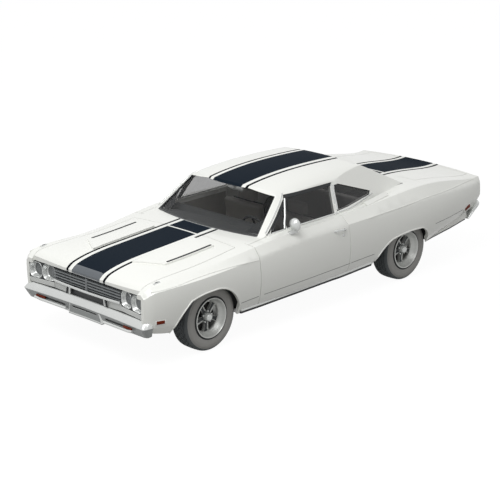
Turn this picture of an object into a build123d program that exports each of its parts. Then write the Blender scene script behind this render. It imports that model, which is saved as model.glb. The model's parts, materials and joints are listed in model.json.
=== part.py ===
from build123d import *
import os
from collections import namedtuple
from math import cos, radians, sin, tan

os.makedirs("parts", exist_ok=True)

# Two-door coupe, millimetres. +X forward, +Y to the car's left, +Z up.
# The origin is on the ground, under the middle of the car.

# Overall
wheelbase = 2946.0
front_overhang = 890.0
rear_overhang = 1313.0
half_width = 970.5
front_axle_x = (wheelbase + rear_overhang - front_overhang) / 2
rear_axle_x = front_axle_x - wheelbase
nose_x = front_axle_x + front_overhang
tail_x = rear_axle_x - rear_overhang

# Body shell
panel_wall = 30.0
nose_cap = 60.0
panel_gap = 6.0
bolted_gap = 0.5
seal_gap = 0.3
fender_nose_x = nose_x - 45.0
body_tail_x = tail_x + 24.0
hood_nose_x = fender_nose_x - 33.0
cowl_x = front_axle_x - 467.0
door_front_x = front_axle_x - 605.0
door_length = 1325.0
door_rear_x = door_front_x - door_length

# Cabin glass
belt_z = 925.0
rail_z = 1262.0
roof_z = 1362.0
roof_wall = 34.0
glass_wall = 6.0
glass_inset = 8.0

# Doors
door_depth = 190.0
door_inner_y = half_width - door_depth
door_sill_z = 335.0
door_top_z = 944.0
door_slant = 16.0
frame_width = 26.0

# Wheels
track = 1524.0
wheel_y = track / 2
tyre_radius = 335.0
tyre_half_width = 113.0
rim_radius = 205.0
rim_seat_radius = 190.0
rim_half_width = 118.0
rim_wall = 9.0
spoke_count = 5
hub_radius = 62.0
spindle_radius = 30.0
spindle_play = 0.05
kingpin_y = 715.0
kingpin_radius = 12.0
kingpin_play = 0.05
steer_room = 376.0
apron_y = 465.0

# Steering wheel
steering_x = front_axle_x - 1120.0
steering_y = 370.0
steering_z = 812.0
steering_tilt = 22.0
steering_radius = 190.0
steering_rim = 13.0

# Hood, deck lid
hood_front_y = 775.0
hood_rear_y = 725.0
hood_lip_z = 736.0
deck_front_x = rear_axle_x - 395.0
deck_rear_x = body_tail_x + 34.0
deck_front_y = 640.0
deck_rear_y = 706.0

nose_open_y = 832.0
cabin_floor_z = 300.0
floor_wall = 20.0


def side_plane(y):
    return Plane(origin=(0, y, 0), x_dir=(1, 0, 0), z_dir=(0, -1, 0))


def cross_plane(x):
    return Plane(origin=(x, 0, 0), x_dir=(0, 1, 0), z_dir=(1, 0, 0))


def side_prism(points, y_from, y_to):
    """Outline in X and Z, carried along Y."""
    with BuildPart() as prism:
        with BuildSketch(side_plane(y_from)):
            with BuildLine():
                Polyline(*points, close=True)
            make_face()
        extrude(amount=y_from - y_to)
    return prism.part


def plan_prism(points, z_from, z_to):
    """Outline in X and Y, carried along Z."""
    with BuildPart() as prism:
        with BuildSketch(Plane.XY.offset(z_from)):
            with BuildLine():
                Polyline(*points, close=True)
            make_face()
        extrude(amount=z_to - z_from)
    return prism.part


def front_prism(points, x_from, x_to):
    """Outline in Y and Z, carried along X."""
    with BuildPart() as prism:
        with BuildSketch(cross_plane(x_from)):
            with BuildLine():
                Polyline(*points, close=True)
            make_face()
        extrude(amount=x_to - x_from)
    return prism.part


def block(x_from, x_to, y_from, y_to, z_from, z_to):
    with BuildPart() as box:
        with Locations(((x_from + x_to) / 2, (y_from + y_to) / 2, (z_from + z_to) / 2)):
            Box(abs(x_to - x_from), abs(y_to - y_from), abs(z_to - z_from))
    return box.part


# Lower body: one cross-section at each station. The y columns are insets from half_width.
Station = namedtuple(
    "Station",
    "x sill_in sill_z low_in low_z side_in side_z crease_in crease_z shoulder_in shoulder_z crown_z",
)
stations = [
    Station(fender_nose_x, 165, 400, 118, 450, 102, 600, 102, 760, 136, 800, 768),
    Station(front_axle_x + 600, 90, 345, 45, 420, 19, 620, 32, 790, 120, 835, 848),
    Station(front_axle_x, 85, 300, 35, 400, 13, 620, 32, 788, 128, 845, 905),
    Station(door_front_x, 80, 285, 34, 395, 15, 640, 38, 815, 105, 902, 940),
    Station(door_rear_x, 80, 300, 34, 395, 14, 650, 42, 855, 120, 943, 964),
    Station(rear_axle_x, 80, 330, 30, 430, 5, 655, 40, 868, 136, 986, 997),
    Station(rear_axle_x - 700, 110, 440, 50, 500, 15, 690, 48, 860, 132, 962, 974),
    Station(body_tail_x, 120, 525, 100, 590, 92, 740, 102, 850, 126, 900, 936),
]


def body_solid(inset, front_inset, rear_inset):
    """The lower body's outer form, or the hollow inside it."""
    with BuildPart() as solid:
        for number, s in enumerate(stations):
            x = s.x
            if number == 0:
                x -= front_inset
            if number == len(stations) - 1:
                x += rear_inset
            y = half_width - inset
            bottom = s.sill_z + inset
            with BuildSketch(cross_plane(x)):
                with BuildLine():
                    Line((-y + s.sill_in, bottom), (y - s.sill_in, bottom))
                    for side in (1, -1):
                        low = (side * (y - s.low_in), s.low_z + inset / 2)
                        crease = (side * (y - s.crease_in), s.crease_z)
                        shoulder = (side * (y - s.shoulder_in), s.shoulder_z - inset)
                        Line((side * (y - s.sill_in), bottom), low)
                        ThreePointArc(low, (side * (y - s.side_in), s.side_z), crease)
                        Line(crease, shoulder)
                    top = s.shoulder_z - inset
                    reach = y - s.shoulder_in
                    ThreePointArc((reach, top), (0, s.crown_z - inset), (-reach, top))
                make_face()
        loft()
    return solid.part


# Cabin plan: the corners at the belt and at the roof rail. x is from the front axle.
Corner = namedtuple("Corner", "name belt_x belt_y rail_x rail_y inset_x inset_y")
cabin_plan = [
    Corner("windshield middle", -640, 0, -1049, 0, -1.6, 0.0),
    Corner("windshield corner", -795, 740, -1193, 608, -1.6, -0.5),
    Corner("pillar", -850, 805, -1262, 640, -0.7, -1.1),
    Corner("quarter", -2100, 808, -2000, 657, 0.2, -1.1),
    Corner("sail", -3297, 640, -2613, 560, 2.2, -1.1),
    Corner("rear glass middle", -3327, 0, -2643, 0, 2.2, 0.0),
]

# Roof crown: heights below roof_z along the middle. x is from the front axle.
roof_stations = [(-600, 190), (-1190, 42), (-1904, 0), (-2552, 20), (-3500, 132)]
roof_flat_y = 500.0
roof_edge_y = 670.0
crown_drop = (30.0, 62.0, 112.0)


def cabin_outline(z, inset):
    points = []
    share = (z - belt_z) / (rail_z - belt_z)
    for c in cabin_plan:
        x = front_axle_x + c.belt_x + share * (c.rail_x - c.belt_x) + inset * c.inset_x
        y = c.belt_y + share * (c.rail_y - c.belt_y) + inset * c.inset_y
        points.append((x, y))
    return points


def roof_solid(inset):
    """What lies under the roof's crown."""
    with BuildPart() as solid:
        for x, drop in roof_stations:
            top = roof_z - drop - inset
            knee = (roof_flat_y, top - crown_drop[0])
            bend = (roof_flat_y + 100, top - crown_drop[1])
            edge = (roof_edge_y, top - crown_drop[2])
            with BuildSketch(cross_plane(front_axle_x + x)):
                with BuildLine():
                    ThreePointArc((-knee[0], knee[1]), (0, top), knee)
                    for side in (1, -1):
                        arc = [(side * y, z) for y, z in (knee, bend, edge)]
                        ThreePointArc(*arc)
                        Line(arc[2], (side * half_width, edge[1] - 200))
                        Line((side * half_width, edge[1] - 200), (side * half_width, 0))
                    Line((half_width, 0), (-half_width, 0))
                make_face()
        loft()
    return solid.part


def cabin_solid(inset):
    """The upper body's outer form, or the hollow inside it."""
    crown = roof_solid(inset)
    with BuildPart() as solid:
        for z in (belt_z - 60, roof_z + 60):
            front, corner, pillar, quarter, sail, rear = cabin_outline(z, inset)
            with BuildSketch(Plane.XY.offset(z)):
                with BuildLine():
                    ThreePointArc((corner[0], -corner[1]), front, corner)
                    for side in (1, -1):
                        Polyline(*[(x, side * y) for x, y in (corner, pillar, quarter, sail)])
                    ThreePointArc(sail, rear, (sail[0], -sail[1]))
                make_face()
        loft(ruled=True)
        add(crown, mode=Mode.INTERSECT)
    return solid.part


def mirrored(part):
    return mirror(part, about=Plane.XZ)


def from_axle(points):
    """Points whose x is measured from the front axle."""
    return [(front_axle_x + x, z) for x, z in points]


def write(part, name):
    part.label = name
    export_step(part, f"parts/{name}.step")


# The tail is cut away on a slant behind the rear wheels, where the bumper sits.
tail_cut_low = (front_axle_x - 3915, 400.0)
tail_cut_high = (body_tail_x, 697.0)
tail_cut_lean = (tail_cut_low[0] - tail_cut_high[0]) / (tail_cut_high[1] - tail_cut_low[1])


def tail_cut_x(z):
    return tail_cut_low[0] - (z - tail_cut_low[1]) * tail_cut_lean


def tail_cut(grow):
    """What is cut from the tail, grown forwards by a wall."""
    low_z, high_z = tail_cut_low[1] - 150, tail_cut_high[1] + 150
    corners = [
        (tail_cut_x(low_z) + grow, low_z), (tail_cut_x(high_z) + grow, high_z),
        (tail_x - 400, high_z), (tail_x - 400, low_z),
    ]
    return side_prism(corners, -half_width - 100, half_width + 100)


with BuildPart() as body_form:
    add(body_solid(0, 0, 0))
    add(tail_cut(0), mode=Mode.SUBTRACT)
body_outer = body_form.part

with BuildPart() as body_hollow:
    add(body_solid(panel_wall, nose_cap, panel_wall))
    add(tail_cut(panel_wall * 1.45), mode=Mode.SUBTRACT)
body_inner = body_hollow.part
cabin_outer = cabin_solid(0)
cabin_inner = cabin_solid(roof_wall)

with BuildPart() as body_shell:
    add(body_outer)
    add(body_inner, mode=Mode.SUBTRACT)

with BuildPart() as cabin_shell:
    add(cabin_outer)
    add(cabin_inner, mode=Mode.SUBTRACT)

# Cutting tools. Everything reaches past the body by this much.
past = 80.0
out_y = half_width + past


def seam_y(x):
    """The hood's side edge."""
    share = (x - cowl_x) / (hood_nose_x - cowl_x)
    return hood_rear_y + share * (hood_front_y - hood_rear_y)


def wheel_opening(axle_x, outline, y_from, y_to):
    """An arch cut: line, arc, line, arc, line. x is from the axle."""
    rear_low, rear_high, rear_arc, top_rear, top_mid, top_front, bend, front_low = [
        (axle_x + x, z) for x, z in outline
    ]
    with BuildPart() as arch:
        with BuildSketch(side_plane(y_from)):
            with BuildLine():
                Line(rear_low, rear_high)
                ThreePointArc(rear_high, rear_arc, top_rear)
                ThreePointArc(top_rear, top_mid, top_front)
                ThreePointArc(top_front, bend, front_low)
                Line(front_low, rear_low)
            make_face()
        extrude(amount=y_from - y_to)
    return arch.part


front_arch = [
    (-330, 200), (-330, 395), (-205, 572), (50, 641),
    (190, 639), (335, 615), (440, 525), (600, 200),
]
rear_arch = [
    (-345, 200), (-300, 400), (-250, 510), (-150, 574),
    (60, 577), (330, 548), (455, 480), (640, 200),
]
arch_left = wheel_opening(front_axle_x, front_arch, 560, out_y)
rear_arch_left = wheel_opening(rear_axle_x, rear_arch, 600, out_y)
with BuildPart() as steer_room_left:
    with Locations((front_axle_x, kingpin_y, 0)):
        Cylinder(steer_room, 2 * tyre_radius + 30, align=(Align.CENTER, Align.CENTER, Align.MIN))
    add(
        block(rear_axle_x, nose_x, half_width - 58, out_y, 0, roof_z), mode=Mode.SUBTRACT
    )


def hood_region(grow):
    return plan_prism(
        [
            (hood_nose_x + past, -hood_front_y - grow),
            (hood_nose_x + past, hood_front_y + grow),
            (cowl_x - grow, hood_rear_y + grow),
            (cowl_x - grow, -hood_rear_y - grow),
        ],
        hood_lip_z - grow,
        roof_z,
    )


def deck_region(grow):
    return plan_prism(
        [
            (deck_front_x + grow, -deck_front_y - grow),
            (deck_front_x + grow, deck_front_y + grow),
            (deck_rear_x - grow, deck_rear_y + grow),
            (deck_rear_x - grow, -deck_rear_y - grow),
        ],
        belt_z - 50,
        roof_z,
    )


# Door outlines in X and Z. The upper one follows the pillar, the rail and the centre post.
post_foot_x = front_axle_x - 1884.0
post_top_x = front_axle_x - 1942.0
frame_top_z = 1246.0
vent_foot_x = front_axle_x - 868.0
vent_top_x = front_axle_x - 1268.0


def door_regions(grow):
    """The door below the belt and its frame above it, grown by the clearance."""
    lean = tan(radians(door_slant))
    with BuildPart() as lower:
        with BuildSketch(Plane.XY.offset(door_sill_z - grow)):
            with BuildLine():
                Polyline(
                    (door_front_x + grow, door_inner_y - grow),
                    (door_front_x + grow, out_y),
                    (door_rear_x - grow - (out_y - half_width) * lean, out_y),
                    (door_rear_x - grow + (door_depth + grow) * lean, door_inner_y - grow),
                    close=True,
                )
            make_face()
        extrude(amount=door_top_z + grow - door_sill_z + grow)
    base_y = 560.0
    with BuildPart() as upper:
        points = []
        for x, z in [
            (vent_foot_x + grow, door_top_z - 40),
            (vent_foot_x + grow, door_top_z),
            (vent_top_x + grow, frame_top_z + grow),
            (post_top_x - grow, frame_top_z + grow),
            (post_foot_x - grow, door_top_z),
            (post_foot_x - grow, door_top_z - 40),
        ]:
            skin_y = cabin_outline(z, 0)[2][1]
            points.append((x + (skin_y - base_y) * lean, z))
        with BuildSketch(side_plane(base_y)):
            with BuildLine():
                Polyline(*points, close=True)
            make_face()
        shear = Vector(sin(radians(door_slant)), -cos(radians(door_slant)), 0)
        extrude(amount=-(out_y - base_y) / cos(radians(door_slant)), dir=shear)
    return lower.part, upper.part


door_lower, door_upper = door_regions(0)
door_lower_gap, door_upper_gap = door_regions(panel_gap)

# Regions shared by the panels
cowl_rear_x = front_axle_x - 870.0
shelf_front_x = rear_axle_x + 180.0
tail_panel_x = body_tail_x + 140.0
tail_panel_y = 760.0
fender_inner_y = 650.0

hood_gap_region = hood_region(panel_gap)
deck_gap_region = deck_region(panel_gap)
nose_opening = block(hood_nose_x - 100, nose_x, -nose_open_y, nose_open_y, 200, hood_lip_z)
cowl_region = plan_prism(
    [
        (cowl_x - panel_gap, -hood_rear_y), (cowl_x - panel_gap, hood_rear_y),
        (door_front_x, hood_rear_y), (door_front_x, door_inner_y - panel_gap),
        (cowl_rear_x, door_inner_y - panel_gap), (cowl_rear_x, -door_inner_y + panel_gap),
        (door_front_x, -door_inner_y + panel_gap), (door_front_x, -hood_rear_y),
    ],
    belt_z - 180,
    roof_z,
)
cabin_plan_in = cabin_outline(belt_z, roof_wall)
cabin_well = plan_prism(
    [(cowl_rear_x, -cabin_plan_in[2][1]), (cowl_rear_x, cabin_plan_in[2][1]),
     (shelf_front_x, cabin_plan_in[3][1] - 20), (shelf_front_x, -cabin_plan_in[3][1] + 20)],
    belt_z - 200,
    roof_z,
)

# Fenders
with BuildPart() as fender_left:
    add(body_shell.part)
    add(block(door_front_x + panel_gap, nose_x, fender_inner_y, out_y, 0, roof_z), mode=Mode.INTERSECT)
    add(hood_gap_region, mode=Mode.SUBTRACT)
    add(cowl_region, mode=Mode.SUBTRACT)
    add(nose_opening, mode=Mode.SUBTRACT)
    add(arch_left, mode=Mode.SUBTRACT)
    add(steer_room_left.part, mode=Mode.SUBTRACT)
fender_right = mirrored(fender_left.part)

quarter_inner_y = 640.0
with BuildPart() as quarter_left:
    add(body_shell.part)
    add(
        block(body_tail_x, door_rear_x + door_depth, quarter_inner_y, out_y, 0, roof_z),
        mode=Mode.INTERSECT,
    )
    add(block(body_tail_x, tail_panel_x, 0, tail_panel_y, 0, roof_z), mode=Mode.SUBTRACT)
    add(deck_gap_region, mode=Mode.SUBTRACT)
    add(cabin_well, mode=Mode.SUBTRACT)
    add(door_lower_gap, mode=Mode.SUBTRACT)
    add(block(door_rear_x, door_front_x, 0, out_y, 0, door_sill_z), mode=Mode.SUBTRACT)
    add(rear_arch_left, mode=Mode.SUBTRACT)
    add(
        block(
            rear_axle_x - tyre_radius - 16, rear_axle_x + tyre_radius + 16,
            0, wheel_y + tyre_half_width + panel_gap + 1, 0, 2 * tyre_radius + 30,
        ),
        mode=Mode.SUBTRACT,
    )
quarter_right = mirrored(quarter_left.part)

with BuildPart() as gutter:
    add(block(deck_front_x - 40, deck_front_x + 60, -600, 600, belt_z - 20, roof_z))
    add(body_inner.moved(Location((0, 0, -seal_gap))), mode=Mode.INTERSECT)
    add(block(deck_front_x + panel_gap, deck_front_x + 60, -590, 590, belt_z - 10, belt_z + 55))
    add(body_outer, mode=Mode.INTERSECT)
trunk_gutter = gutter.part

with BuildPart() as parcel_shelf:
    add(body_shell.part)
    add(
        block(deck_front_x + panel_gap, shelf_front_x, -quarter_inner_y, quarter_inner_y, belt_z - 50, roof_z),
        mode=Mode.INTERSECT,
    )
    add(trunk_gutter)

plate_hole_spacing = 177.8
plate_hole_radius = 3.3
plate_hole_z = 800.0
with BuildPart() as tail_panel:
    add(body_shell.part)
    add(block(body_tail_x, tail_panel_x, -tail_panel_y, tail_panel_y, 0, roof_z), mode=Mode.INTERSECT)
    add(deck_gap_region, mode=Mode.SUBTRACT)
    for side in (1, -1):
        with Locations(
            Location((body_tail_x - 20, side * plate_hole_spacing / 2, plate_hole_z), (0, 90, 0))
        ):
            Cylinder(
                plate_hole_radius, panel_wall + 40, align=(Align.CENTER, Align.CENTER, Align.MIN),
                mode=Mode.SUBTRACT,
            )

# Hood and deck lid
bulge_rise = 18.0
bulge_plan = from_axle([(470, 285), (300, 566), (-346, 566), (-346, 285)])
slot_length = (-330, 262)
slot_y = (536.0, 551.0)
slot_floor = 6.0


def raised(amount):
    return body_outer.moved(Location((0, 0, amount)))


with BuildPart() as bulge_left:
    add(raised(bulge_rise))
    add(plan_prism(bulge_plan, belt_z - 300, roof_z), mode=Mode.INTERSECT)
    add(body_inner, mode=Mode.SUBTRACT)

with BuildPart() as vent_left:
    add(block(front_axle_x + slot_length[0], front_axle_x + slot_length[1], *slot_y, belt_z - 300, roof_z))
    add(raised(slot_floor), mode=Mode.SUBTRACT)

with BuildPart() as hood:
    add(body_shell.part)
    add(hood_region(0), mode=Mode.INTERSECT)
    add(block(hood_nose_x, nose_x, -out_y, out_y, 0, roof_z), mode=Mode.SUBTRACT)
    add(bulge_left.part)
    add(mirrored(bulge_left.part))
    add(vent_left.part, mode=Mode.SUBTRACT)
    add(mirrored(vent_left.part), mode=Mode.SUBTRACT)

with BuildPart() as deck_lid:
    add(body_shell.part)
    add(deck_region(0), mode=Mode.INTERSECT)

# Doors
with BuildPart() as door_left:
    add(body_outer)
    add(door_lower, mode=Mode.INTERSECT)

glass_outer = cabin_solid(glass_inset)
glass_inner = cabin_solid(glass_inset + glass_wall)
with BuildPart() as glass_shell:
    add(glass_outer)
    add(glass_inner, mode=Mode.SUBTRACT)

window_top_z = frame_top_z - frame_width
door_window = from_axle(
    [
        (-905, door_top_z + 6),
        (-1280, window_top_z),
        (-1918, window_top_z),
        (-1862, door_top_z + 6),
    ]
)


def side_window(outline, shrink):
    """A window's outline carried along Y, drawn in from its edge by shrink."""
    with BuildPart() as prism:
        with BuildSketch(side_plane(500)):
            with BuildLine():
                Polyline(*outline, close=True)
            make_face()
            if shrink:
                offset(amount=-shrink, kind=Kind.INTERSECTION)
        extrude(amount=500 - out_y)
    return prism.part


# The bar between the vent glass and the main glass, as outlines in X and Z
divider_low_x = -1119.0
divider_high_x = -1250.0
divider_half = 9.0


def divider_prism(half):
    return side_window(
        from_axle(
            [
                (divider_low_x - half, door_top_z - 20), (divider_low_x + half, door_top_z - 20),
                (divider_high_x + half, frame_top_z), (divider_high_x - half, frame_top_z),
            ]
        ),
        0,
    )


with BuildPart() as door_glazing:
    add(side_window(door_window, 0))
    add(divider_prism(divider_half), mode=Mode.SUBTRACT)

with BuildPart() as door_frame:
    add(cabin_shell.part)
    add(door_upper, mode=Mode.INTERSECT)
    add(body_outer, mode=Mode.SUBTRACT)
    add(door_glazing.part, mode=Mode.SUBTRACT)

with BuildPart() as door_glass_left:
    add(glass_shell.part)
    add(side_window(door_window, seal_gap), mode=Mode.INTERSECT)
    add(divider_prism(divider_half + seal_gap), mode=Mode.SUBTRACT)

with BuildPart() as door_whole:
    add(door_left.part)
    add(door_frame.part)

# Roof with its pillars
quarter_window = from_axle(
    [
        (-1962, window_top_z),
        (-2040, window_top_z),
        (-2545, 1045),
        (-2520, 1012),
        (-1905, 972),
    ]
)


def screen_prism(foot_y, edge_y, edge_z, middle_z, x_from, x_to, shrink):
    """A windshield or rear window outline carried along X, drawn in by shrink."""
    half = [(foot_y - shrink, belt_z - 20), (edge_y - shrink, edge_z - shrink), (300, middle_z - shrink)]
    return front_prism(half + [(-y, z) for y, z in reversed(half)], front_axle_x + x_from, front_axle_x + x_to)


windshield_cut = screen_prism(725, 600, 1246, 1284, -1500, 0, 0)
windshield_fill = screen_prism(725, 600, 1246, 1284, -1500, 0, bolted_gap)
rear_cut = screen_prism(540, 510, 1290, 1312, -3600, -2300, 0)
rear_fill = screen_prism(540, 510, 1290, 1312, -3600, -2300, bolted_gap)
with BuildPart() as roof:
    add(cabin_shell.part)
    add(body_outer, mode=Mode.SUBTRACT)
    add(door_lower_gap, mode=Mode.SUBTRACT)
    add(door_upper_gap, mode=Mode.SUBTRACT)
    add(mirrored(door_lower_gap), mode=Mode.SUBTRACT)
    add(mirrored(door_upper_gap), mode=Mode.SUBTRACT)
    add(windshield_cut, mode=Mode.SUBTRACT)
    add(rear_cut, mode=Mode.SUBTRACT)
    add(side_window(quarter_window, 0), mode=Mode.SUBTRACT)
    add(mirrored(side_window(quarter_window, 0)), mode=Mode.SUBTRACT)

with BuildPart() as windshield:
    add(glass_shell.part)
    add(windshield_fill, mode=Mode.INTERSECT)
    add(body_outer, mode=Mode.SUBTRACT)

with BuildPart() as rear_window:
    add(glass_shell.part)
    add(rear_fill, mode=Mode.INTERSECT)
    add(body_outer, mode=Mode.SUBTRACT)

with BuildPart() as quarter_windows:
    add(glass_shell.part)
    add(side_window(quarter_window, seal_gap), mode=Mode.INTERSECT)
    mirror(about=Plane.XZ)


# Floor: one bent sheet with the sills fused to its sides. x is from the front axle.
floor_line = from_axle(
    [(-603.2, 690), (-603.2, 560), (-800, 310), (-2230, 310), (-2420, 455), (-3120, 455), (-3290, 500), (-4010, 536)]
)
sill_inner_y = 705.0
wheel_inner_y = wheel_y - rim_half_width - 30


def bent_sheet(line, wall, y_from, y_to):
    """A sheet that follows a line in X and Z."""
    with BuildPart() as sheet:
        with BuildSketch(side_plane(y_from)):
            with BuildLine() as path:
                Polyline(*line)
            trace(path.line, line_width=wall)
        extrude(amount=y_from - y_to)
    return sheet.part


with BuildPart() as floor_pan:
    add(bent_sheet(floor_line, floor_wall, -sill_inner_y + bolted_gap, sill_inner_y - bolted_gap))
    for side in (1, -1):
        add(
            block(
                body_tail_x, door_rear_x, side * (quarter_inner_y - bolted_gap), side * out_y, 0, roof_z
            ),
            mode=Mode.SUBTRACT,
        )
        add(
            block(rear_axle_x - 420, rear_axle_x + 420, side * wheel_inner_y, side * out_y, 0, roof_z),
            mode=Mode.SUBTRACT,
        )

# Sills under the doors, each with the flange that the door shuts against
sill_top_z = door_sill_z - panel_gap
sill_flange_z = door_sill_z + 60
flange_wall = 14.0
with BuildPart() as sills:
    for x, s in ((door_rear_x, stations[4]), (door_front_x, stations[3])):
        rise = (sill_top_z - s.sill_z) / (s.low_z - s.sill_z)
        foot_y = half_width - s.sill_in
        with BuildSketch(cross_plane(x)):
            with BuildLine():
                Polyline(
                    (sill_inner_y, s.sill_z),
                    (foot_y, s.sill_z),
                    (foot_y + rise * (s.sill_in - s.low_in), sill_top_z),
                    (door_inner_y - seal_gap, sill_top_z),
                    (door_inner_y - seal_gap, sill_flange_z),
                    (door_inner_y - seal_gap - flange_wall, sill_flange_z),
                    (door_inner_y - seal_gap - flange_wall, sill_top_z),
                    (sill_inner_y, sill_top_z),
                    close=True,
                )
            make_face()
    loft(ruled=True)
    mirror(about=Plane.XZ)

# Engine bay: firewall, inner aprons and radiator support in one piece
radiator_x = front_axle_x + 650.0
apron_wall = 18.0
apron_top_z = 740.0
firewall_x = front_axle_x - 575.0
firewall_half = 700.0
bay_floor_z = 300.0
rail_y = 745.0
hood_seat = body_inner.moved(Location((0, 0, -seal_gap)))
with BuildPart() as engine_bay:
    add(block(radiator_x, radiator_x + apron_wall, -rail_y, rail_y, bay_floor_z + 80, roof_z))
    add(block(firewall_x - apron_wall, firewall_x, -firewall_half, firewall_half, bay_floor_z, roof_z))
    for side in (1, -1):
        add(
            block(
                firewall_x, radiator_x, side * (apron_y - apron_wall), side * apron_y,
                bay_floor_z, apron_top_z,
            )
        )
        add(
            block(
                firewall_x, radiator_x, side * apron_y, side * rail_y,
                apron_top_z - apron_wall, apron_top_z,
            )
        )
        add(block(firewall_x, radiator_x, side * (rail_y - apron_wall), side * rail_y, apron_top_z, roof_z))
    add(hood_seat, mode=Mode.INTERSECT)
    add(body_inner, mode=Mode.INTERSECT)

with BuildPart() as cowl:
    add(body_shell.part)
    add(cowl_region, mode=Mode.INTERSECT)

# Front end: grille, lamps and bumper. Faces are measured back from the hood's nose.
grille_half = 485.0
grille_z = (582.0, 728.0)
grille_depth = 34.0
grille_bar = 8.0
grille_bars = 6
grille_divider_half = 12.0
lower_grille_z = (512.0, 572.0)
lower_panel_y = 260.0
lamp_radius = 73.0
lamp_z = 650.0
Lamp = namedtuple("Lamp", "y x_back")
lamps = [Lamp(568, 34), Lamp(732, 12)]
grille_x = hood_nose_x - 6.0
bezel_z = (566.0, 729.0)
bezel_back = 56.0
bezel_plan = [
    (grille_x - bezel_back, grille_half + 6), (grille_x - 18, grille_half + 6),
    (grille_x + 28, nose_open_y - 14), (grille_x - bezel_back, nose_open_y - 14),
]
radiator_face_x = radiator_x + apron_wall

with BuildPart() as grille:
    frame_z = (lower_grille_z[0] - 12, grille_z[1])
    add(block(grille_x - grille_depth, grille_x - grille_depth + 12, -grille_half, grille_half, *frame_z))
    add(
        block(radiator_face_x, grille_x - grille_depth, -grille_half + 60, -grille_half + 100, 540, 700)
    )
    add(block(radiator_face_x, grille_x - grille_depth, grille_half - 100, grille_half - 60, 540, 700))
    pitch = (grille_z[1] - grille_z[0] - grille_bar) / (grille_bars - 1)
    for bar in range(grille_bars):
        z = grille_z[0] + bar * pitch
        add(block(grille_x - grille_depth, grille_x, -grille_half, grille_half, z, z + grille_bar))
    add(block(grille_x - grille_depth, grille_x + 4, -grille_divider_half, grille_divider_half, *grille_z))
    for side in (1, -1):
        add(
            block(
                grille_x - grille_depth, grille_x - 14, side * lower_panel_y, side * grille_half,
                lower_grille_z[0], grille_z[0],
            )
        )

with BuildPart() as headlamps:
    with BuildSketch(Plane.XY.offset(bezel_z[0])):
        for side in (1, -1):
            with BuildLine():
                Polyline(*[(x, side * y) for x, y in bezel_plan], close=True)
            make_face()
    extrude(amount=bezel_z[1] - bezel_z[0])
    for side in (1, -1):
        for lamp in lamps:
            with Locations(Location((grille_x - lamp.x_back, side * lamp.y, lamp_z), (0, 90, 0))):
                Cylinder(
                    lamp_radius, 300, align=(Align.CENTER, Align.CENTER, Align.MIN), mode=Mode.SUBTRACT
                )
        add(
            block(
                radiator_face_x, grille_x - bezel_back + 4,
                side * (grille_half + 14), side * (nose_open_y - bolted_gap), 560, 720,
            )
        )

# Front bumper: a plan outline at each height, carried from one to the next. Its blade leans
# back above the crease, and its ends turn round the fenders. x is from the nose.
bumper_bow = 54.0
bumper_levels = [(322.0, 6.0), (443.0, 0.0), (498.0, 44.0)]
bumper_corner = (20.0, 905.0)
bumper_end = (58.0, 950.0)
bumper_inner = 62.0
bumper_foot = [
    (0, 326), (246, 326), (300, 340), (640, 350), (800, 362), (900, 374), (1100, 384), (1100, 250), (0, 250),
]
plate_panel_y = 244.0
slot_outline = [(262, 352), (262, 398), (650, 384), (690, 374), (640, 362)]


def front_bumper_outline(back):
    half = [
        (nose_x - bumper_bow - back, 0), (nose_x - back, 830),
        (nose_x - bumper_corner[0] - back * 0.7, bumper_corner[1]),
        (nose_x - bumper_end[0], bumper_end[1] - back * 0.3), (nose_x - bumper_end[0], 850),
        (nose_x - bumper_inner, 800), (nose_x - bumper_bow - bumper_inner, 0),
    ]
    return half + [(x, -y) for x, y in reversed(half[1:-1])]


with BuildPart() as front_bumper:
    for z, back in bumper_levels:
        with BuildSketch(Plane.XY.offset(z)):
            with BuildLine():
                Polyline(*front_bumper_outline(back), close=True)
            make_face()
    loft(ruled=True)
    for side in (1, -1):
        for outline in (bumper_foot, slot_outline):
            add(
                front_prism([(side * y, z) for y, z in outline], radiator_x, nose_x + past),
                mode=Mode.SUBTRACT,
            )
    add(
        block(nose_x - bumper_bow - 12, nose_x + past, -plate_panel_y, plate_panel_y, 404, 424),
        mode=Mode.SUBTRACT,
    )
    add(fender_left.part, mode=Mode.SUBTRACT)
    add(fender_right, mode=Mode.SUBTRACT)
    for side in (1, -1):
        add(block(radiator_face_x, nose_x - 80, side * 360, side * 420, 430, 480))

# Rear bumper: a slanted blade with a thicker top, closed against the tail's cut
blade_levels = [(455.0, -4030.0), (596.0, -4240.0), (618.0, -4259.0), (640.0, -4240.0)]
blade_bow = 22.0
blade_bend = (26.0, 880.0)
blade_end_y = 925.0


def rear_bumper_outline(z, rear):
    front = tail_cut_x(z) + bolted_gap * 10
    half = [
        (rear, 0), (rear + blade_bow, 840), (rear + blade_bow + blade_bend[0], blade_bend[1]),
        (front - 12, blade_end_y), (front, blade_end_y),
    ]
    return half + [(x, -y) for x, y in reversed(half[1:])]


with BuildPart() as rear_bumper:
    for z, rear in blade_levels:
        with BuildSketch(Plane.XY.offset(z)):
            with BuildLine():
                Polyline(*rear_bumper_outline(z, front_axle_x + rear), close=True)
            make_face()
    loft(ruled=True)
    add(body_outer, mode=Mode.SUBTRACT)

tail_lamp_y = (330.0, 720.0)
tail_lamp_z = (700.0, 810.0)
with BuildPart() as tail_lamps:
    for side in (1, -1):
        add(block(body_tail_x - 14, body_tail_x, side * tail_lamp_y[0], side * tail_lamp_y[1], *tail_lamp_z))

# Cabin fittings
with BuildPart() as dashboard:
    with BuildSketch(side_plane(-720)):
        with BuildLine():
            Polyline(
                *from_axle(
                    [(-593.3, 720), (-593.3, 862), (-760, 880), (-900, 862), (-950, 800), (-900, 720), (-760, 680)]
                ),
                close=True,
            )
        make_face()
    extrude(amount=-1440)

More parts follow.
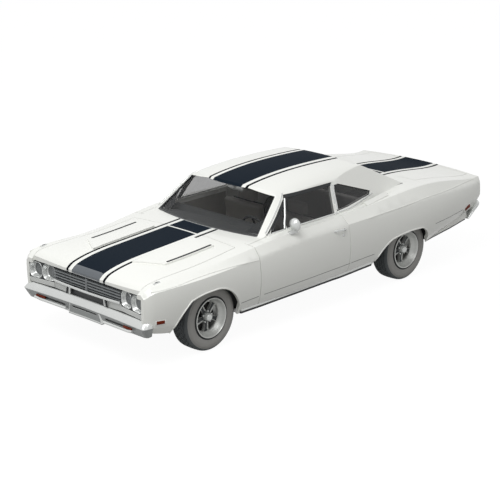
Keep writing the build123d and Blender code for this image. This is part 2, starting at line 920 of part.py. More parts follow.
seat_y = 360.0
seat_half = 270.0
with BuildPart() as front_seats:
    for side in (1, -1):
        for outline in (
            [(-1290, 345), (-1250, 480), (-1700, 450), (-1760, 345)],
            [(-1700, 450), (-1620, 470), (-1730, 900), (-1800, 890), (-1800, 700), (-1770, 345)],
        ):
            add(side_prism(from_axle(outline), side * seat_y - seat_half, side * seat_y + seat_half))
        add(
            block(
                front_axle_x - 1700, front_axle_x - 1330, side * (seat_y - 200), side * (seat_y + 200),
                cabin_floor_z + floor_wall, 360,
            )
        )

with BuildPart() as rear_seat:
    add(
        side_prism(
            from_axle([(-2180, 321), (-2150, 500), (-2560, 470), (-2650, 930), (-2740, 930), (-2700, 470), (-2440, 466)]),
            -590, 590,
        )
    )
    add(floor_pan.part, mode=Mode.SUBTRACT)

# Heavy and underbody pieces
with BuildPart() as engine:
    add(block(front_axle_x - 420, front_axle_x + 330, -290, 290, 320, 790))
    add(block(front_axle_x - 420, front_axle_x + 330, -apron_y + apron_wall, apron_y - apron_wall, 330, 380))

rear_tube_radius = 42.0
brake_radius = 135.0
brake_y = (672.0, 690.0)
spindle_y = wheel_y + 50.0
hub_inner_y = wheel_y - 20.0


def lateral(x, z, radius, y_from, y_to):
    """A round bar along Y."""
    with BuildPart() as bar:
        with Locations(Location((x, y_from, z), (-90, 0, 0))):
            Cylinder(radius, y_to - y_from, align=(Align.CENTER, Align.CENTER, Align.MIN))
    return bar.part


leaf_y = 560.0
leaf_half = 30.0
leaf_wall = 22.0
leaf_z = tyre_radius - rear_tube_radius
leaf_line = from_axle([(-2190, leaf_z - 2), (-2500, leaf_z), (-3300, leaf_z), (-3580, 490)])
with BuildPart() as rear_axle:
    for side in (1, -1):
        y = side * leaf_y
        add(bent_sheet(leaf_line, leaf_wall, y - leaf_half, y + leaf_half))
    add(floor_pan.part, mode=Mode.SUBTRACT)
    add(lateral(rear_axle_x, tyre_radius, rear_tube_radius, -690, 690))
    add(lateral(rear_axle_x, tyre_radius, spindle_radius, -spindle_y, spindle_y))
    add(lateral(rear_axle_x, tyre_radius, 105, -110, 110))
    for side in (1, -1):
        add(lateral(rear_axle_x, tyre_radius, brake_radius, *sorted((side * brake_y[0], side * brake_y[1]))))


# Front suspension and knuckles
arm_half = 28.0
arm_wall = 27.0
low_arm_z = 182.0
high_arm_z = 461.0
knuckle_half = 34.0
knuckle_y = (694.0, hub_inner_y - panel_gap)
knuckle_z = (low_arm_z + arm_wall + panel_gap, high_arm_z - panel_gap)
with BuildPart() as front_suspension:
    add(block(front_axle_x - 60, front_axle_x + 60, -apron_y + apron_wall, apron_y - apron_wall, low_arm_z, 320))
    for side in (1, -1):
        for z, inner_y in ((low_arm_z, apron_y - apron_wall), (high_arm_z, apron_y)):
            add(
                block(
                    front_axle_x - arm_half, front_axle_x + arm_half,
                    side * inner_y, side * kingpin_y, z, z + arm_wall,
                )
            )
            with Locations((front_axle_x, side * kingpin_y, z)):
                Cylinder(arm_half, arm_wall, align=(Align.CENTER, Align.CENTER, Align.MIN))
        with Locations((front_axle_x, side * kingpin_y, 0)):
            Cylinder(
                kingpin_radius + kingpin_play, roof_z,
                align=(Align.CENTER, Align.CENTER, Align.MIN), mode=Mode.SUBTRACT,
            )

with BuildPart() as knuckle_left:
    add(block(front_axle_x - knuckle_half, front_axle_x + knuckle_half, *knuckle_y, *knuckle_z))
    add(lateral(front_axle_x, tyre_radius, spindle_radius, kingpin_y, spindle_y))
    with Locations((front_axle_x, kingpin_y, low_arm_z)):
        Cylinder(
            kingpin_radius, high_arm_z + arm_wall - low_arm_z,
            align=(Align.CENTER, Align.CENTER, Align.MIN),
        )
knuckle_right = mirrored(knuckle_left.part)


# Wheels
tread_half = 92.0
shoulder_radius = 318.0
bulge_radius = 268.0
bead_half = 103.0
spoke_y = (30.0, 50.0)
spoke_width = 46.0
cap_y = 86.0
cap_radius = 44.0


def rim(axle_x, side):
    """Barrel, spokes and hub; y grows outboard from the wheel's middle plane."""
    inner = rim_seat_radius - rim_wall
    with BuildPart() as wheel:
        with BuildSketch(cross_plane(0)):
            with BuildLine():
                Polyline(
                    (-rim_half_width, inner), (-rim_half_width, rim_radius), (-bead_half - 1, rim_radius),
                    (-bead_half - 1, rim_seat_radius), (bead_half + 1, rim_seat_radius),
                    (bead_half + 1, rim_radius), (rim_half_width, rim_radius), (rim_half_width, inner),
                    close=True,
                )
            make_face()
        revolve(axis=Axis.Y)
        hub_low = hub_inner_y - wheel_y
        with BuildSketch(cross_plane(0)):
            with BuildLine():
                Polyline(
                    (hub_low, 0), (hub_low, hub_radius), (spoke_y[1], hub_radius),
                    (spoke_y[1] + 12, cap_radius), (cap_y - 14, cap_radius),
                )
                ThreePointArc((cap_y - 14, cap_radius), (cap_y - 4, cap_radius * 0.6), (cap_y, 6))
                Polyline((cap_y, 6), (cap_y, 0), (hub_low, 0))
            make_face()
        revolve(axis=Axis.Y)
        for spoke in range(spoke_count):
            turn = Location((0, (spoke_y[0] + spoke_y[1]) / 2, 0), (0, 90 + spoke * 360 / spoke_count, 0))
            with Locations(turn * Location((hub_radius - 8, 0, 0))):
                Box(
                    inner + rim_wall / 2 - hub_radius + 8, spoke_y[1] - spoke_y[0], spoke_width,
                    align=(Align.MIN, Align.CENTER, Align.CENTER),
                )
        bore_end = spindle_y - wheel_y + seal_gap
        with Locations(Location((0, bore_end, 0), (90, 0, 0))):
            Cylinder(
                spindle_radius + spindle_play, bore_end - hub_low + 1,
                align=(Align.CENTER, Align.CENTER, Align.MIN), mode=Mode.SUBTRACT,
            )
    left = wheel.part.moved(Location((axle_x, wheel_y, tyre_radius)))
    return left if side > 0 else mirrored(left)


def tyre(axle_x, side):
    with BuildPart() as ring:
        with BuildSketch(cross_plane(0)):
            with BuildLine():
                Line((-tread_half, tyre_radius), (tread_half, tyre_radius))
                for s in (1, -1):
                    ThreePointArc(
                        (s * tread_half, tyre_radius), (s * (tread_half + 13), shoulder_radius),
                        (s * tyre_half_width, bulge_radius),
                    )
                    ThreePointArc(
                        (s * tyre_half_width, bulge_radius), (s * (tyre_half_width - 2), 236),
                        (s * bead_half, rim_radius + 2),
                    )
                    Line((s * bead_half, rim_radius + 2), (s * bead_half, rim_seat_radius))
                Line((-bead_half, rim_seat_radius), (bead_half, rim_seat_radius))
            make_face()
        revolve(axis=Axis.Y)
    left = ring.part.moved(Location((axle_x, wheel_y, tyre_radius)))
    return left if side > 0 else mirrored(left)


wheels = [
    ("front_left", front_axle_x, 1), ("front_right", front_axle_x, -1),
    ("rear_left", rear_axle_x, 1), ("rear_right", rear_axle_x, -1),
]

# Steering
steering_place = Location((steering_x, steering_y, steering_z), (0, steering_tilt - 90, 0))
column_radius = 24.0
column_pin_radius = 11.0
column_length = 520.0
with BuildPart() as steering_column:
    Cylinder(column_radius, column_length, align=(Align.CENTER, Align.CENTER, Align.MAX))
    with Locations((0, 0, 0)):
        Cylinder(column_pin_radius, 40, align=(Align.CENTER, Align.CENTER, Align.MIN))
with BuildPart() as steering_wheel:
    with Locations((0, 0, 36)):
        Torus(steering_radius, steering_rim)
    with Locations((0, 0, seal_gap + 5)):
        Cylinder(38, 46, align=(Align.CENTER, Align.CENTER, Align.MIN))
    for turn in (0, 180, 270):
        with Locations(Location((0, 0, 36), (0, 0, turn))):
            Box(steering_radius, 26, 8, align=(Align.MIN, Align.CENTER, Align.CENTER))
    Cylinder(column_pin_radius + 0.05, 40 + seal_gap, align=(Align.CENTER, Align.CENTER, Align.MIN), mode=Mode.SUBTRACT)

# Exhaust and tank
pipe_radius = 28.0
pipe_y = 470.0
exhaust_path = [
    (-410, 250, 350), (-640, 300, 250), (-900, pipe_y, 250), (-2350, pipe_y, 250),
    (-2600, pipe_y, 412), (-3250, pipe_y, 412), (-3600, pipe_y, 380), (-4180, pipe_y, 380),
]
with BuildPart() as exhaust:
    for side in (1, -1):
        points = [(front_axle_x + x, side * y, z) for x, y, z in exhaust_path]
        with BuildLine() as route:
            FilletPolyline(*points, radius=90)
        with BuildSketch(Plane(origin=route.line @ 0, z_dir=route.line % 0)):
            Circle(pipe_radius)
        sweep(path=route.line)
    add(engine.part, mode=Mode.SUBTRACT)

with BuildPart() as fuel_tank:
    add(
        side_prism(
            from_axle([(-3420, 330), (-3960, 330), (-3960, 523), (-3420, 496)]), -390, 390
        )
    )
    add(floor_pan.part, mode=Mode.SUBTRACT)

# Door mirror, on the left door only
mirror_x = front_axle_x - 1134.0
with BuildPart() as door_mirror:
    with Locations(Location((mirror_x, 913, 1032), (0, 90, 0))):
        Cylinder(57, 36)
    add(front_prism([(835, 930), (868, 920), (915, 1000), (890, 1010)], mirror_x - 16, mirror_x + 16))
    add(door_left.part, mode=Mode.SUBTRACT)

door_right = mirrored(door_whole.part)
column = steering_column.part.moved(steering_place)
pieces = {
    "floor_pan": floor_pan.part,
    "sills": sills.part,
    "engine_bay": engine_bay.part,
    "cowl": cowl.part,
    "fender_left": fender_left.part,
    "fender_right": fender_right,
    "quarter_left": quarter_left.part,
    "quarter_right": quarter_right,
    "parcel_shelf": parcel_shelf.part,
    "tail_panel": tail_panel.part,
    "roof": roof.part,
    "windshield": windshield.part,
    "rear_window": rear_window.part,
    "quarter_windows": quarter_windows.part,
    "hood": hood.part,
    "deck_lid": deck_lid.part,
    "door_left": door_whole.part,
    "door_right": door_right,
    "door_glass_left": door_glass_left.part,
    "door_glass_right": mirrored(door_glass_left.part),
    "door_mirror": door_mirror.part,
    "grille": grille.part,
    "headlamps": headlamps.part,
    "front_bumper": front_bumper.part,
    "rear_bumper": rear_bumper.part,
    "tail_lamps": tail_lamps.part,
    "dashboard": dashboard.part + column,
    "front_seats": front_seats.part,
    "rear_seat": rear_seat.part,
    "engine": engine.part,
    "rear_axle": rear_axle.part,
    "front_suspension": front_suspension.part,
    "knuckle_left": knuckle_left.part,
    "knuckle_right": knuckle_right,
    "steering_wheel": steering_wheel.part.moved(steering_place),
    "exhaust": exhaust.part,
    "fuel_tank": fuel_tank.part,
}
for place, axle_x, side in wheels:
    pieces[f"rim_{place}"] = rim(axle_x, side)
    pieces[f"tyre_{place}"] = tyre(axle_x, side)
for name, piece in pieces.items():
    write(piece, name)
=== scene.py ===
import bpy
import bmesh
import math
from mathutils import Matrix, Vector
from mathutils.bvhtree import BVHTree
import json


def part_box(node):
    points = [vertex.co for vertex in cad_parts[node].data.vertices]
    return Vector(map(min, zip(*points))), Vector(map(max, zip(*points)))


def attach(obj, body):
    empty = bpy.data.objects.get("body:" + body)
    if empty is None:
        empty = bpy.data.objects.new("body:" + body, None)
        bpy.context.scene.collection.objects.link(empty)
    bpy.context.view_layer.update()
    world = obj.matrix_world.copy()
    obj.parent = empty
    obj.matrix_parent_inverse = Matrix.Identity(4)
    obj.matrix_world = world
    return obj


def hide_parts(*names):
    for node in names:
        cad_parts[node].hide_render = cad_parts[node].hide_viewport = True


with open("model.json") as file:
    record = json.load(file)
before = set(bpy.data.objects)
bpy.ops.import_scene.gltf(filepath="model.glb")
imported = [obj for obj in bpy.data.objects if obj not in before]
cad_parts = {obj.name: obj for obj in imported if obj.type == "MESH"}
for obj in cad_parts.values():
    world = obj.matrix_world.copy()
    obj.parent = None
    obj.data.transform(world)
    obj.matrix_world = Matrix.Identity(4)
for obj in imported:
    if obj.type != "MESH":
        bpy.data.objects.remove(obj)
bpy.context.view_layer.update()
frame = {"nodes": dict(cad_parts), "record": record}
mm = 0.001
bodyOf = {node: body for body, nodes in frame["record"]["behaviour"]["bodies"].items() for node in nodes}

# Places that the rest of the script measures from, in metres
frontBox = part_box("tyre_front_left")
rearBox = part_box("tyre_rear_left")
frontAxle = (frontBox[0][0] + frontBox[1][0]) / 2
rearAxle = (rearBox[0][0] + rearBox[1][0]) / 2
wheelY = (frontBox[0][1] + frontBox[1][1]) / 2
wheelZ = (frontBox[0][2] + frontBox[1][2]) / 2


def fromAxle(x, y, z):  # millimetres, x forward from the front axle
    return Vector((frontAxle + x * mm, y * mm, z * mm))


def axleLine(points):
    return [fromAxle(*point) for point in points]


def rect(low, high, bottom, top):  # a rectangle's corners, in order round it
    return [(low, bottom), (high, bottom), (high, top), (low, top)]


# Materials

def linear(hexColour):
    parts = [int(hexColour[i:i + 2], 16) / 255 for i in (1, 3, 5)]
    return [p / 12.92 if p <= 0.04045 else ((p + 0.055) / 1.055) ** 2.4 for p in parts] + [1.0]


def addNode(tree, kind, settings=None, links=None):
    node = tree.nodes.new(kind)
    for key, value in (settings or {}).items():
        if isinstance(key, str) and hasattr(node, key):
            setattr(node, key, value)
        else:
            node.inputs[key].default_value = value
    for key, source in (links or {}).items():
        tree.links.new(source, node.inputs[key])
    return node


def newMaterial(name, colour, **sockets):
    material = bpy.data.materials.new(name)
    material.use_nodes = True
    tree = material.node_tree
    tree.nodes.clear()
    shader = addNode(tree, "ShaderNodeBsdfPrincipled", {"Base Color": linear(colour)})
    for key, value in sockets.items():
        shader.inputs[key.replace("_", " ")].default_value = value
    addNode(tree, "ShaderNodeOutputMaterial", links={"Surface": shader.outputs[0]})
    return material, tree, shader


def objectCoords(tree):
    return addNode(tree, "ShaderNodeTexCoord").outputs["Object"]


def addBump(tree, shader, height, distance, strength=1.0):
    bump = addNode(tree, "ShaderNodeBump", {"Strength": strength, "Distance": distance}, {"Height": height})
    tree.links.new(bump.outputs[0], shader.inputs["Normal"])


# Colour wanders between two shades, and a fine grain shows in the bump; grain and depth in mm
def grained(name, colour, shade, grain, depth, **sockets):
    material, tree, shader = newMaterial(name, colour, **sockets)
    coords = objectCoords(tree)
    cloud = addNode(tree, "ShaderNodeTexNoise", {"Scale": 9.0, "Detail": 4.0}, {"Vector": coords})
    mix = addNode(
        tree, "ShaderNodeMix", {"data_type": "RGBA", 6: linear(colour), 7: linear(shade)},
        {0: cloud.outputs[0]},
    )
    tree.links.new(mix.outputs[2], shader.inputs["Base Color"])
    fine = addNode(
        tree, "ShaderNodeTexNoise", {"Scale": 1.0 / (grain * mm), "Detail": 3.0}, {"Vector": coords},
    )
    addBump(tree, shader, fine.outputs[0], depth * mm)
    return material


# Automotive enamel, sprayed over steel: a clear coat over flat colour with faint orange peel
def enamelMaterial(name, colour, **sockets):
    material, tree, shader = newMaterial(name, colour, **sockets)
    peel = addNode(
        tree, "ShaderNodeTexNoise", {"Scale": 240.0, "Detail": 2.0}, {"Vector": objectCoords(tree)},
    )
    addBump(tree, shader, peel.outputs[0], 0.0001, 0.2)
    return material


# A broad stripe between two pins, in mm from the middle, and where it stops short of a seam
stripe = {
    "half": 203, "pinInner": 251, "pinOuter": 282, "colour": "#1A222B", "pinColour": "#101317",
    "seams": {"hood": -446, "deck_lid": -3362, "parcel_shelf": -3152},
}
whiteEnamel = enamelMaterial("whiteEnamel", "#F1F2ED", Roughness=0.38, Coat_Weight=0.5, Coat_Roughness=0.06)
# Matt stripe paint, with no clear coat over it, so it stays dark at a low angle
matteStripe = enamelMaterial("matteStripe", stripe["colour"], Roughness=0.7, Specular_IOR_Level=0.03)
# The stripe's clear-coated copy for the nose, where it turns down; its lighter colour is a painted sheen
noseStripeSheen = enamelMaterial("noseStripeSheen", "#4E545A", Roughness=0.35, Coat_Weight=0.5, Coat_Roughness=0.2)
mattePin = enamelMaterial("mattePin", stripe["pinColour"], Roughness=0.7, Specular_IOR_Level=0.03)
# The same enamel in the shade under a pressed crease
creaseShade = enamelMaterial("creaseShade", "#8A8C89", Roughness=0.5)

# Chrome plate over steel, buffed: a mirror with the faintest haze
chromePlate = grained("chromePlate", "#D8DAD8", "#CFD1D0", 60, 0.02, Metallic=0.35, Roughness=0.16)
# The same plate, darker where it faces the ground: painted shade and a painted reflection of a dark road
chromeShade = grained("chromeShade", "#8F9291", "#858887", 60, 0.02, Metallic=0.2, Roughness=0.25)
# Rolled stainless steel trim, a little duller than chrome
stainlessTrim = grained("stainlessTrim", "#D4D6D4", "#C8CAC9", 30, 0.02, Metallic=0.6, Roughness=0.24)
# Cast aluminium, machined then lacquered, for the road wheels
machinedAluminium = grained("machinedAluminium", "#CFD0CD", "#B9BBB8", 3, 0.05, Metallic=0.5, Roughness=0.42)
# The same casting left as cast between the spokes
castPocket = grained("castPocket", "#3A3D3F", "#2A2D2F", 2, 0.1, Metallic=0.4, Roughness=0.55)
# Rubber seals and black powder paint
blackRubber = grained("blackRubber", "#191B1D", "#232527", 1.2, 0.1, Roughness=0.7)
chassisBlack = grained("chassisBlack", "#1D1F20", "#2A2C2D", 4, 0.3, Roughness=0.6)
# Satin black paint on the grille's recess
grilleBlack = grained("grilleBlack", "#17191B", "#222527", 3, 0.1, Roughness=0.5)
# Grained vinyl over foam for the dash, doors and seats
dashVinyl = grained("dashVinyl", "#444646", "#3C3E3F", 1.6, 0.35, Roughness=0.6)
seatVinyl = grained("seatVinyl", "#A5A19A", "#928F8A", 2.0, 0.4, Roughness=0.45, Coat_Weight=0.15)
# Loop-pile carpet, drawn coarser than its 3 mm tufts so that it shows
loopCarpet = grained("loopCarpet", "#202223", "#303233", 5, 2.0, Roughness=0.95)
# Painted cast iron, and the mild steel of pipes and tank
engineIron = grained("engineIron", "#3B4046", "#2C3035", 3, 0.5, Roughness=0.5)
axleIron = grained("axleIron", "#232424", "#33312F", 4, 0.6, Roughness=0.65)
pipeSteel = grained("pipeSteel", "#8C8B88", "#6F6A64", 8, 0.2, Metallic=0.9, Roughness=0.42)
print("plain finishes ready")


# Toughened window glass: a grey tint, seen as a smooth dark pane
def glassMaterial(name, colour, alpha):
    material, tree, shader = newMaterial(
        name, colour, Roughness=0.03, IOR=1.52, Coat_Weight=0.3, Coat_Roughness=0.02,
    )
    shader.inputs["Alpha"].default_value = alpha
    coords = objectCoords(tree)
    ripple = addNode(tree, "ShaderNodeTexNoise", {"Scale": 2.2, "Detail": 1.0}, {"Vector": coords})
    addBump(tree, shader, ripple.outputs[0], 0.002, 0.15)
    return material


screenGlass = glassMaterial("screenGlass", "#1E2022", 0.13)
sideGlass = glassMaterial("sideGlass", "#0E1113", 0.36)
# Brushed nylon cloth under the roof
headlinerCloth = grained("headlinerCloth", "#3C3E3F", "#333536", 2.5, 0.5, Roughness=0.9)


# Panels carried over from the frame: merged, with smooth faces and sharp panel edges

def finished(shape, name, material, body="body", replaces=None, smooth=35):
    mesh = bpy.data.meshes.new(name)
    for face in shape.faces:
        face.smooth = True
    for edge in shape.edges:
        edge.smooth = len(edge.link_faces) == 2 and edge.calc_face_angle(3.2) < math.radians(smooth)
    shape.to_mesh(mesh)
    shape.free()
    mesh.materials.append(material)
    piece = bpy.data.objects.new(name, mesh)
    bpy.context.collection.objects.link(piece)
    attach(piece, body)
    if replaces:
        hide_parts(replaces)
    return piece


def addMaterial(piece, material, chosen):
    piece.data.materials.append(material)
    index = len(piece.data.materials) - 1
    for polygon in piece.data.polygons:
        if chosen(polygon):
            polygon.material_index = index


def cleanCopy(node):
    shape = bmesh.new()
    shape.from_mesh(frame["nodes"][node].data)
    bmesh.ops.remove_doubles(shape, verts=shape.verts, dist=0.00002)
    return shape


panelDegrees = 28
creaseDegrees = 30
castDegrees = 40


def dressed(node, material, sharpDegrees=panelDegrees):
    return finished(
        cleanCopy(node), node + "_skin", material, bodyOf[node], replaces=node, smooth=sharpDegrees,
    )


def everything(shape):
    return shape.verts[:] + shape.edges[:] + shape.faces[:]


def cutAt(shape, place, normal):
    bmesh.ops.bisect_plane(shape, geom=everything(shape), dist=1e-6, plane_co=place, plane_no=normal)


# The nose rolls down to the grille and to the lamp bezels
noseRoll = {
    "start": 732, "drop": 22, "depth": 80, "limit": 1.7, "top": 775, "hoodLow": 744, "fenderLow": 690,
    "cuts": (732, 748, 762, 775, 786, 797, 806, 820, 834),
}


def rolled(shape, low):
    for x in noseRoll["cuts"]:
        cutAt(shape, fromAxle(x, 0, 0), (1, 0, 0))
    for vert in shape.verts:
        forward = ((vert.co.x - frontAxle) / mm - noseRoll["start"]) / noseRoll["depth"]
        upper = min(1, max(0, (vert.co.z / mm - low) / (noseRoll["top"] - low)))
        if forward > 0:
            vert.co.z -= noseRoll["drop"] * mm * min(forward ** 2, noseRoll["limit"]) * upper
    return shape


# The stripes are masked and sprayed in matt paint, so each panel is cut along their edges
def stripedPanel(node):
    shape = cleanCopy(node)
    if node == "hood":
        rolled(shape, noseRoll["hoodLow"])
    if node in stripe["seams"]:
        cutAt(shape, fromAxle(stripe["seams"][node], 0, 0), (1, 0, 0))
    for edge in (stripe["half"], stripe["pinInner"], stripe["pinOuter"]):
        for side in (1, -1):
            cutAt(shape, (0, side * edge * mm, 0), (0, 1, 0))
    piece = finished(shape, node + "_skin", whiteEnamel, bodyOf[node], replaces=node, smooth=panelDegrees)

    def masked(p, inner, outer):
        return inner * mm < abs(p.center.y) < outer * mm and (p.normal.z > 0.3 or p.normal.x > 0.6)

    addMaterial(piece, matteStripe, lambda p: masked(p, -1, stripe["half"]))
    if node == "hood":
        # the stripe's faces that turn down at the nose get the painted sheen
        addMaterial(piece, noseStripeSheen, lambda p: abs(p.center.y) < stripe["half"] * mm and p.normal.x > 0.42)
    addMaterial(piece, mattePin, lambda p: masked(p, stripe["pinInner"], stripe["pinOuter"]))
    if node in ("hood", "deck_lid"):  # the paint stops short of the seam
        seamX = fromAxle(stripe["seams"][node], 0, 0).x
        behind = 1 if node == "deck_lid" else -1
        addMaterial(
            piece, whiteEnamel,
            lambda p: (p.center.x - seamX) * behind > 0 and abs(p.center.y) < stripe["half"] * mm,
        )
    return piece


for node in ("hood", "cowl", "deck_lid", "tail_panel"):
    stripedPanel(node)
roofSkin = stripedPanel("roof")
addMaterial(roofSkin, headlinerCloth, lambda p: p.normal.z < -0.3)
# The panel behind the cabin is painted outside the rear screen and trimmed inside it
shelfSkin = stripedPanel("parcel_shelf")
addMaterial(shelfSkin, dashVinyl, lambda p: p.center.x > fromAxle(stripe["seams"]["parcel_shelf"], 0, 0).x)
# The fender tips also draw in a little
tipDraw = {"start": 760, "share": 0.02, "length": 86}
for node in ("fender_left", "fender_right"):
    shape = rolled(cleanCopy(node), noseRoll["fenderLow"])
    for vert in shape.verts:
        x = (vert.co.x - frontAxle) / mm
        if x > tipDraw["start"]:
            vert.co.y *= 1 - tipDraw["share"] * ((x - tipDraw["start"]) / tipDraw["length"]) ** 2
    finished(shape, node + "_skin", whiteEnamel, replaces=node, smooth=creaseDegrees)
for node in ("quarter_left", "quarter_right", "sills"):
    dressed(node, whiteEnamel, creaseDegrees)
# The door glass sits in black frames above the belt
doorFrame = {"low": 0.966, "rear": -1.86}
for node in ("door_left", "door_right"):
    addMaterial(
        dressed(node, whiteEnamel, creaseDegrees), blackRubber,
        lambda p: p.center.z > doorFrame["low"] and p.center.x > frontAxle + doorFrame["rear"],
    )
for node in ("windshield", "rear_window"):
    dressed(node, screenGlass)
for node in ("quarter_windows", "door_glass_left", "door_glass_right"):
    dressed(node, sideGlass)
for node, material in {
    "floor_pan": chassisBlack, "engine_bay": chassisBlack, "rear_axle": axleIron, "front_suspension": axleIron,
    "knuckle_left": axleIron, "knuckle_right": axleIron, "exhaust": pipeSteel, "fuel_tank": pipeSteel,
}.items():
    dressed(node, material, castDegrees)


# Places found on the frame's surfaces, for what is laid along them

def merged(*nodes):
    shape = bmesh.new()
    for node in nodes:
        shape.from_mesh(frame["nodes"][node].data)
    bmesh.ops.remove_doubles(shape, verts=shape.verts, dist=0.00002)
    tree = BVHTree.FromBMesh(shape)
    shape.free()
    return tree


bodySide = merged(
    "fender_left", "door_left", "quarter_left", "sills", "roof", "quarter_windows", "door_glass_left",
)
bodyTop = merged(
    "hood", "cowl", "roof", "deck_lid", "fender_left", "quarter_left", "parcel_shelf", "windshield",
    "rear_window",
)
cowlTop = merged("cowl")
floorTop = merged("floor_pan")
doorInside = merged("door_left")


def onSurface(tree, start, heading, proud):  # the first point met, or the start where nothing is
    point, normal = tree.ray_cast(start, Vector(heading))[:2]
    if point is None:
        return start
    if normal.dot(Vector(heading)) > 0:
        normal = -normal
    return point + normal * proud * mm


def onSide(x, z, proud=0.0):  # on the left flank
    return onSurface(bodySide, fromAxle(x, 1200, z), (0, -1, 0), proud)


def onTop(x, y, proud=0.0):
    return onSurface(bodyTop, fromAxle(x, y, 1700), (0, 0, -1), proud)


def onTopOf(tree, x, y):  # a height in millimetres, 0 where nothing is
    point = tree.ray_cast(fromAxle(x, y, 1240), Vector((0, 0, -1)))[0]
    return 0 if point is None else point.z / mm


def inPoint(x, z, proud=0.0):  # on the left door's inner face
    point = doorInside.ray_cast(fromAxle(x, 200, z), Vector((0, 1, 0)))[0]
    return (point or fromAxle(x, 800, z)) - Vector((0, proud * mm, 0))


def subdivided(points, step):
    result = []
    for a, b in zip(points, points[1:]):
        count = max(1, round(math.dist(a, b) / step))
        result += [tuple(p + (q - p) * i / count for p, q in zip(a, b)) for i in range(count)]
    return result + [points[-1]]


def flankLine(points, step, proud):
    return [onSide(x, z, proud) for x, z in subdivided(points, step)]


# Shapes: a section in mm (across, up) is carried along a path by extruding it from stop to stop

def bead(width, height):
    half = width / 2
    return [
        (-half, -height * 0.4), (half, -height * 0.4), (half, height * 0.35), (half * 0.6, height),
        (-half * 0.6, height), (-half, height * 0.35),
    ]


def grownFace(shape, face):
    grown = bmesh.ops.extrude_face_region(shape, geom=[face])["geom"]
    return next(g for g in grown if isinstance(g, bmesh.types.BMFace))


def swept(path, outward, section, closed=False):
    stops = []
    count = len(path)
    for i, point in enumerate(path):
        after = path[(i + 1) % count] - point if closed or i + 1 < count else point - path[i - 1]
        before = point - path[i - 1] if closed or i else after
        after = after.normalized()
        along = (before.normalized() + after).normalized()
        up = Vector(outward)
        up = (up - along * up.dot(along)).normalized()
        across = up.cross(along) / max(0.6, along.dot(after))
        stops.append(Matrix.Translation(point) @ Matrix((across, up, along)).transposed().to_4x4())
    shape = bmesh.new()
    start = shape.faces.new([shape.verts.new((a * mm, b * mm, 0)) for a, b in section])
    bmesh.ops.transform(shape, matrix=stops[0], verts=shape.verts)
    face, last = start, stops[0]
    for stop in stops[1:] + ([stops[0]] if closed else []):
        face = grownFace(shape, face)
        bmesh.ops.transform(shape, matrix=stop @ last.inverted(), verts=face.verts)
        last = stop
    if closed:
        bmesh.ops.delete(shape, geom=[start, face], context="FACES_ONLY")
        bmesh.ops.remove_doubles(shape, verts=shape.verts, dist=0.00001)
    bmesh.ops.recalc_face_normals(shape, faces=shape.faces)
    return shape


# Sections of equal length, each a list of points in mm from the front axle, carried one to the next
def lofted(stations):
    shape = bmesh.new()
    order = shape.verts.layers.int.new("order")
    for i, point in enumerate(stations[0]):
        shape.verts.new(fromAxle(*point))[order] = i
    face = shape.faces.new(shape.verts)
    for station in stations[1:]:
        face = grownFace(shape, face)
        for vert in face.verts:
            vert.co = fromAxle(*station[vert[order]])
    bmesh.ops.recalc_face_normals(shape, faces=shape.faces)
    return shape


def rearmost(element):
    middle = sum((v.co for v in element.verts), Vector()) / len(element.verts)
    return tuple(round(c, 6) for c in middle)


# The longest run of chosen edges of a node, thinned to points a step apart or at corners
def edgePath(node, chosen, step=30):
    shape = cleanCopy(node)
    edges = {e for e in shape.edges if len(e.link_faces) == 2 and chosen(e)}
    runs = []
    while edges:
        edge = min(edges, key=rearmost)
        edges.discard(edge)
        run = sorted(edge.verts, key=lambda v: tuple(v.co))
        for _ in range(2):
            while True:
                following = next((e for e in run[-1].link_edges if e in edges), None)
                if following is None:
                    break
                edges.discard(following)
                run.append(following.other_vert(run[-1]))
            run.reverse()
        runs.append([v.co.copy() for v in run])
    shape.free()
    run = max(runs, key=lambda r: sum((b - a).length for a, b in zip(r, r[1:])))
    path = [run[0]]
    for point, after in zip(run[1:], run[2:]):
        corner = (point - path[-1]).length > 0.002 and (point - path[-1]).angle(after - point, 0) > 0.2
        if (point - path[-1]).length > step * mm or corner:
            path.append(point)
    if (run[-1] - run[0]).length > 0.001:
        path.append(run[-1])
    return path


def rimEdge(facing, least=0.5):  # an edge where the side that faces out meets a pane's rim
    facing = Vector(facing).normalized()
    return lambda e: e.calc_face_angle() > 0.8 and any(f.normal.dot(facing) > least for f in e.link_faces)


def mirrorY(shape, merge=-1):  # a merge distance joins the two halves at the middle
    bmesh.ops.mirror(shape, geom=everything(shape), axis="Y", merge_dist=merge)
    bmesh.ops.recalc_face_normals(shape, faces=shape.faces)
    return shape


def mirroredHalf(shape):  # the half's open middle is joined to its own mirror image
    middle = [f for f in shape.faces if all(abs(v.co.y) < 1e-6 for v in f.verts)]
    bmesh.ops.delete(shape, geom=middle, context="FACES_ONLY")
    return mirrorY(shape, 0.00001)


def flipped(shape):  # the other side's copy alone
    bmesh.ops.scale(shape, vec=(1, -1, 1), verts=shape.verts)
    bmesh.ops.reverse_faces(shape, faces=shape.faces)
    return shape


def onSideOf(shape, side):
    return flipped(shape) if side == "right" else shape


def joined(shapes):
    whole = bmesh.new()
    for shape in shapes:
        mesh = bpy.data.meshes.new("part")
        shape.to_mesh(mesh)
        shape.free()
        whole.from_mesh(mesh)
        bpy.data.meshes.remove(mesh)
    return whole


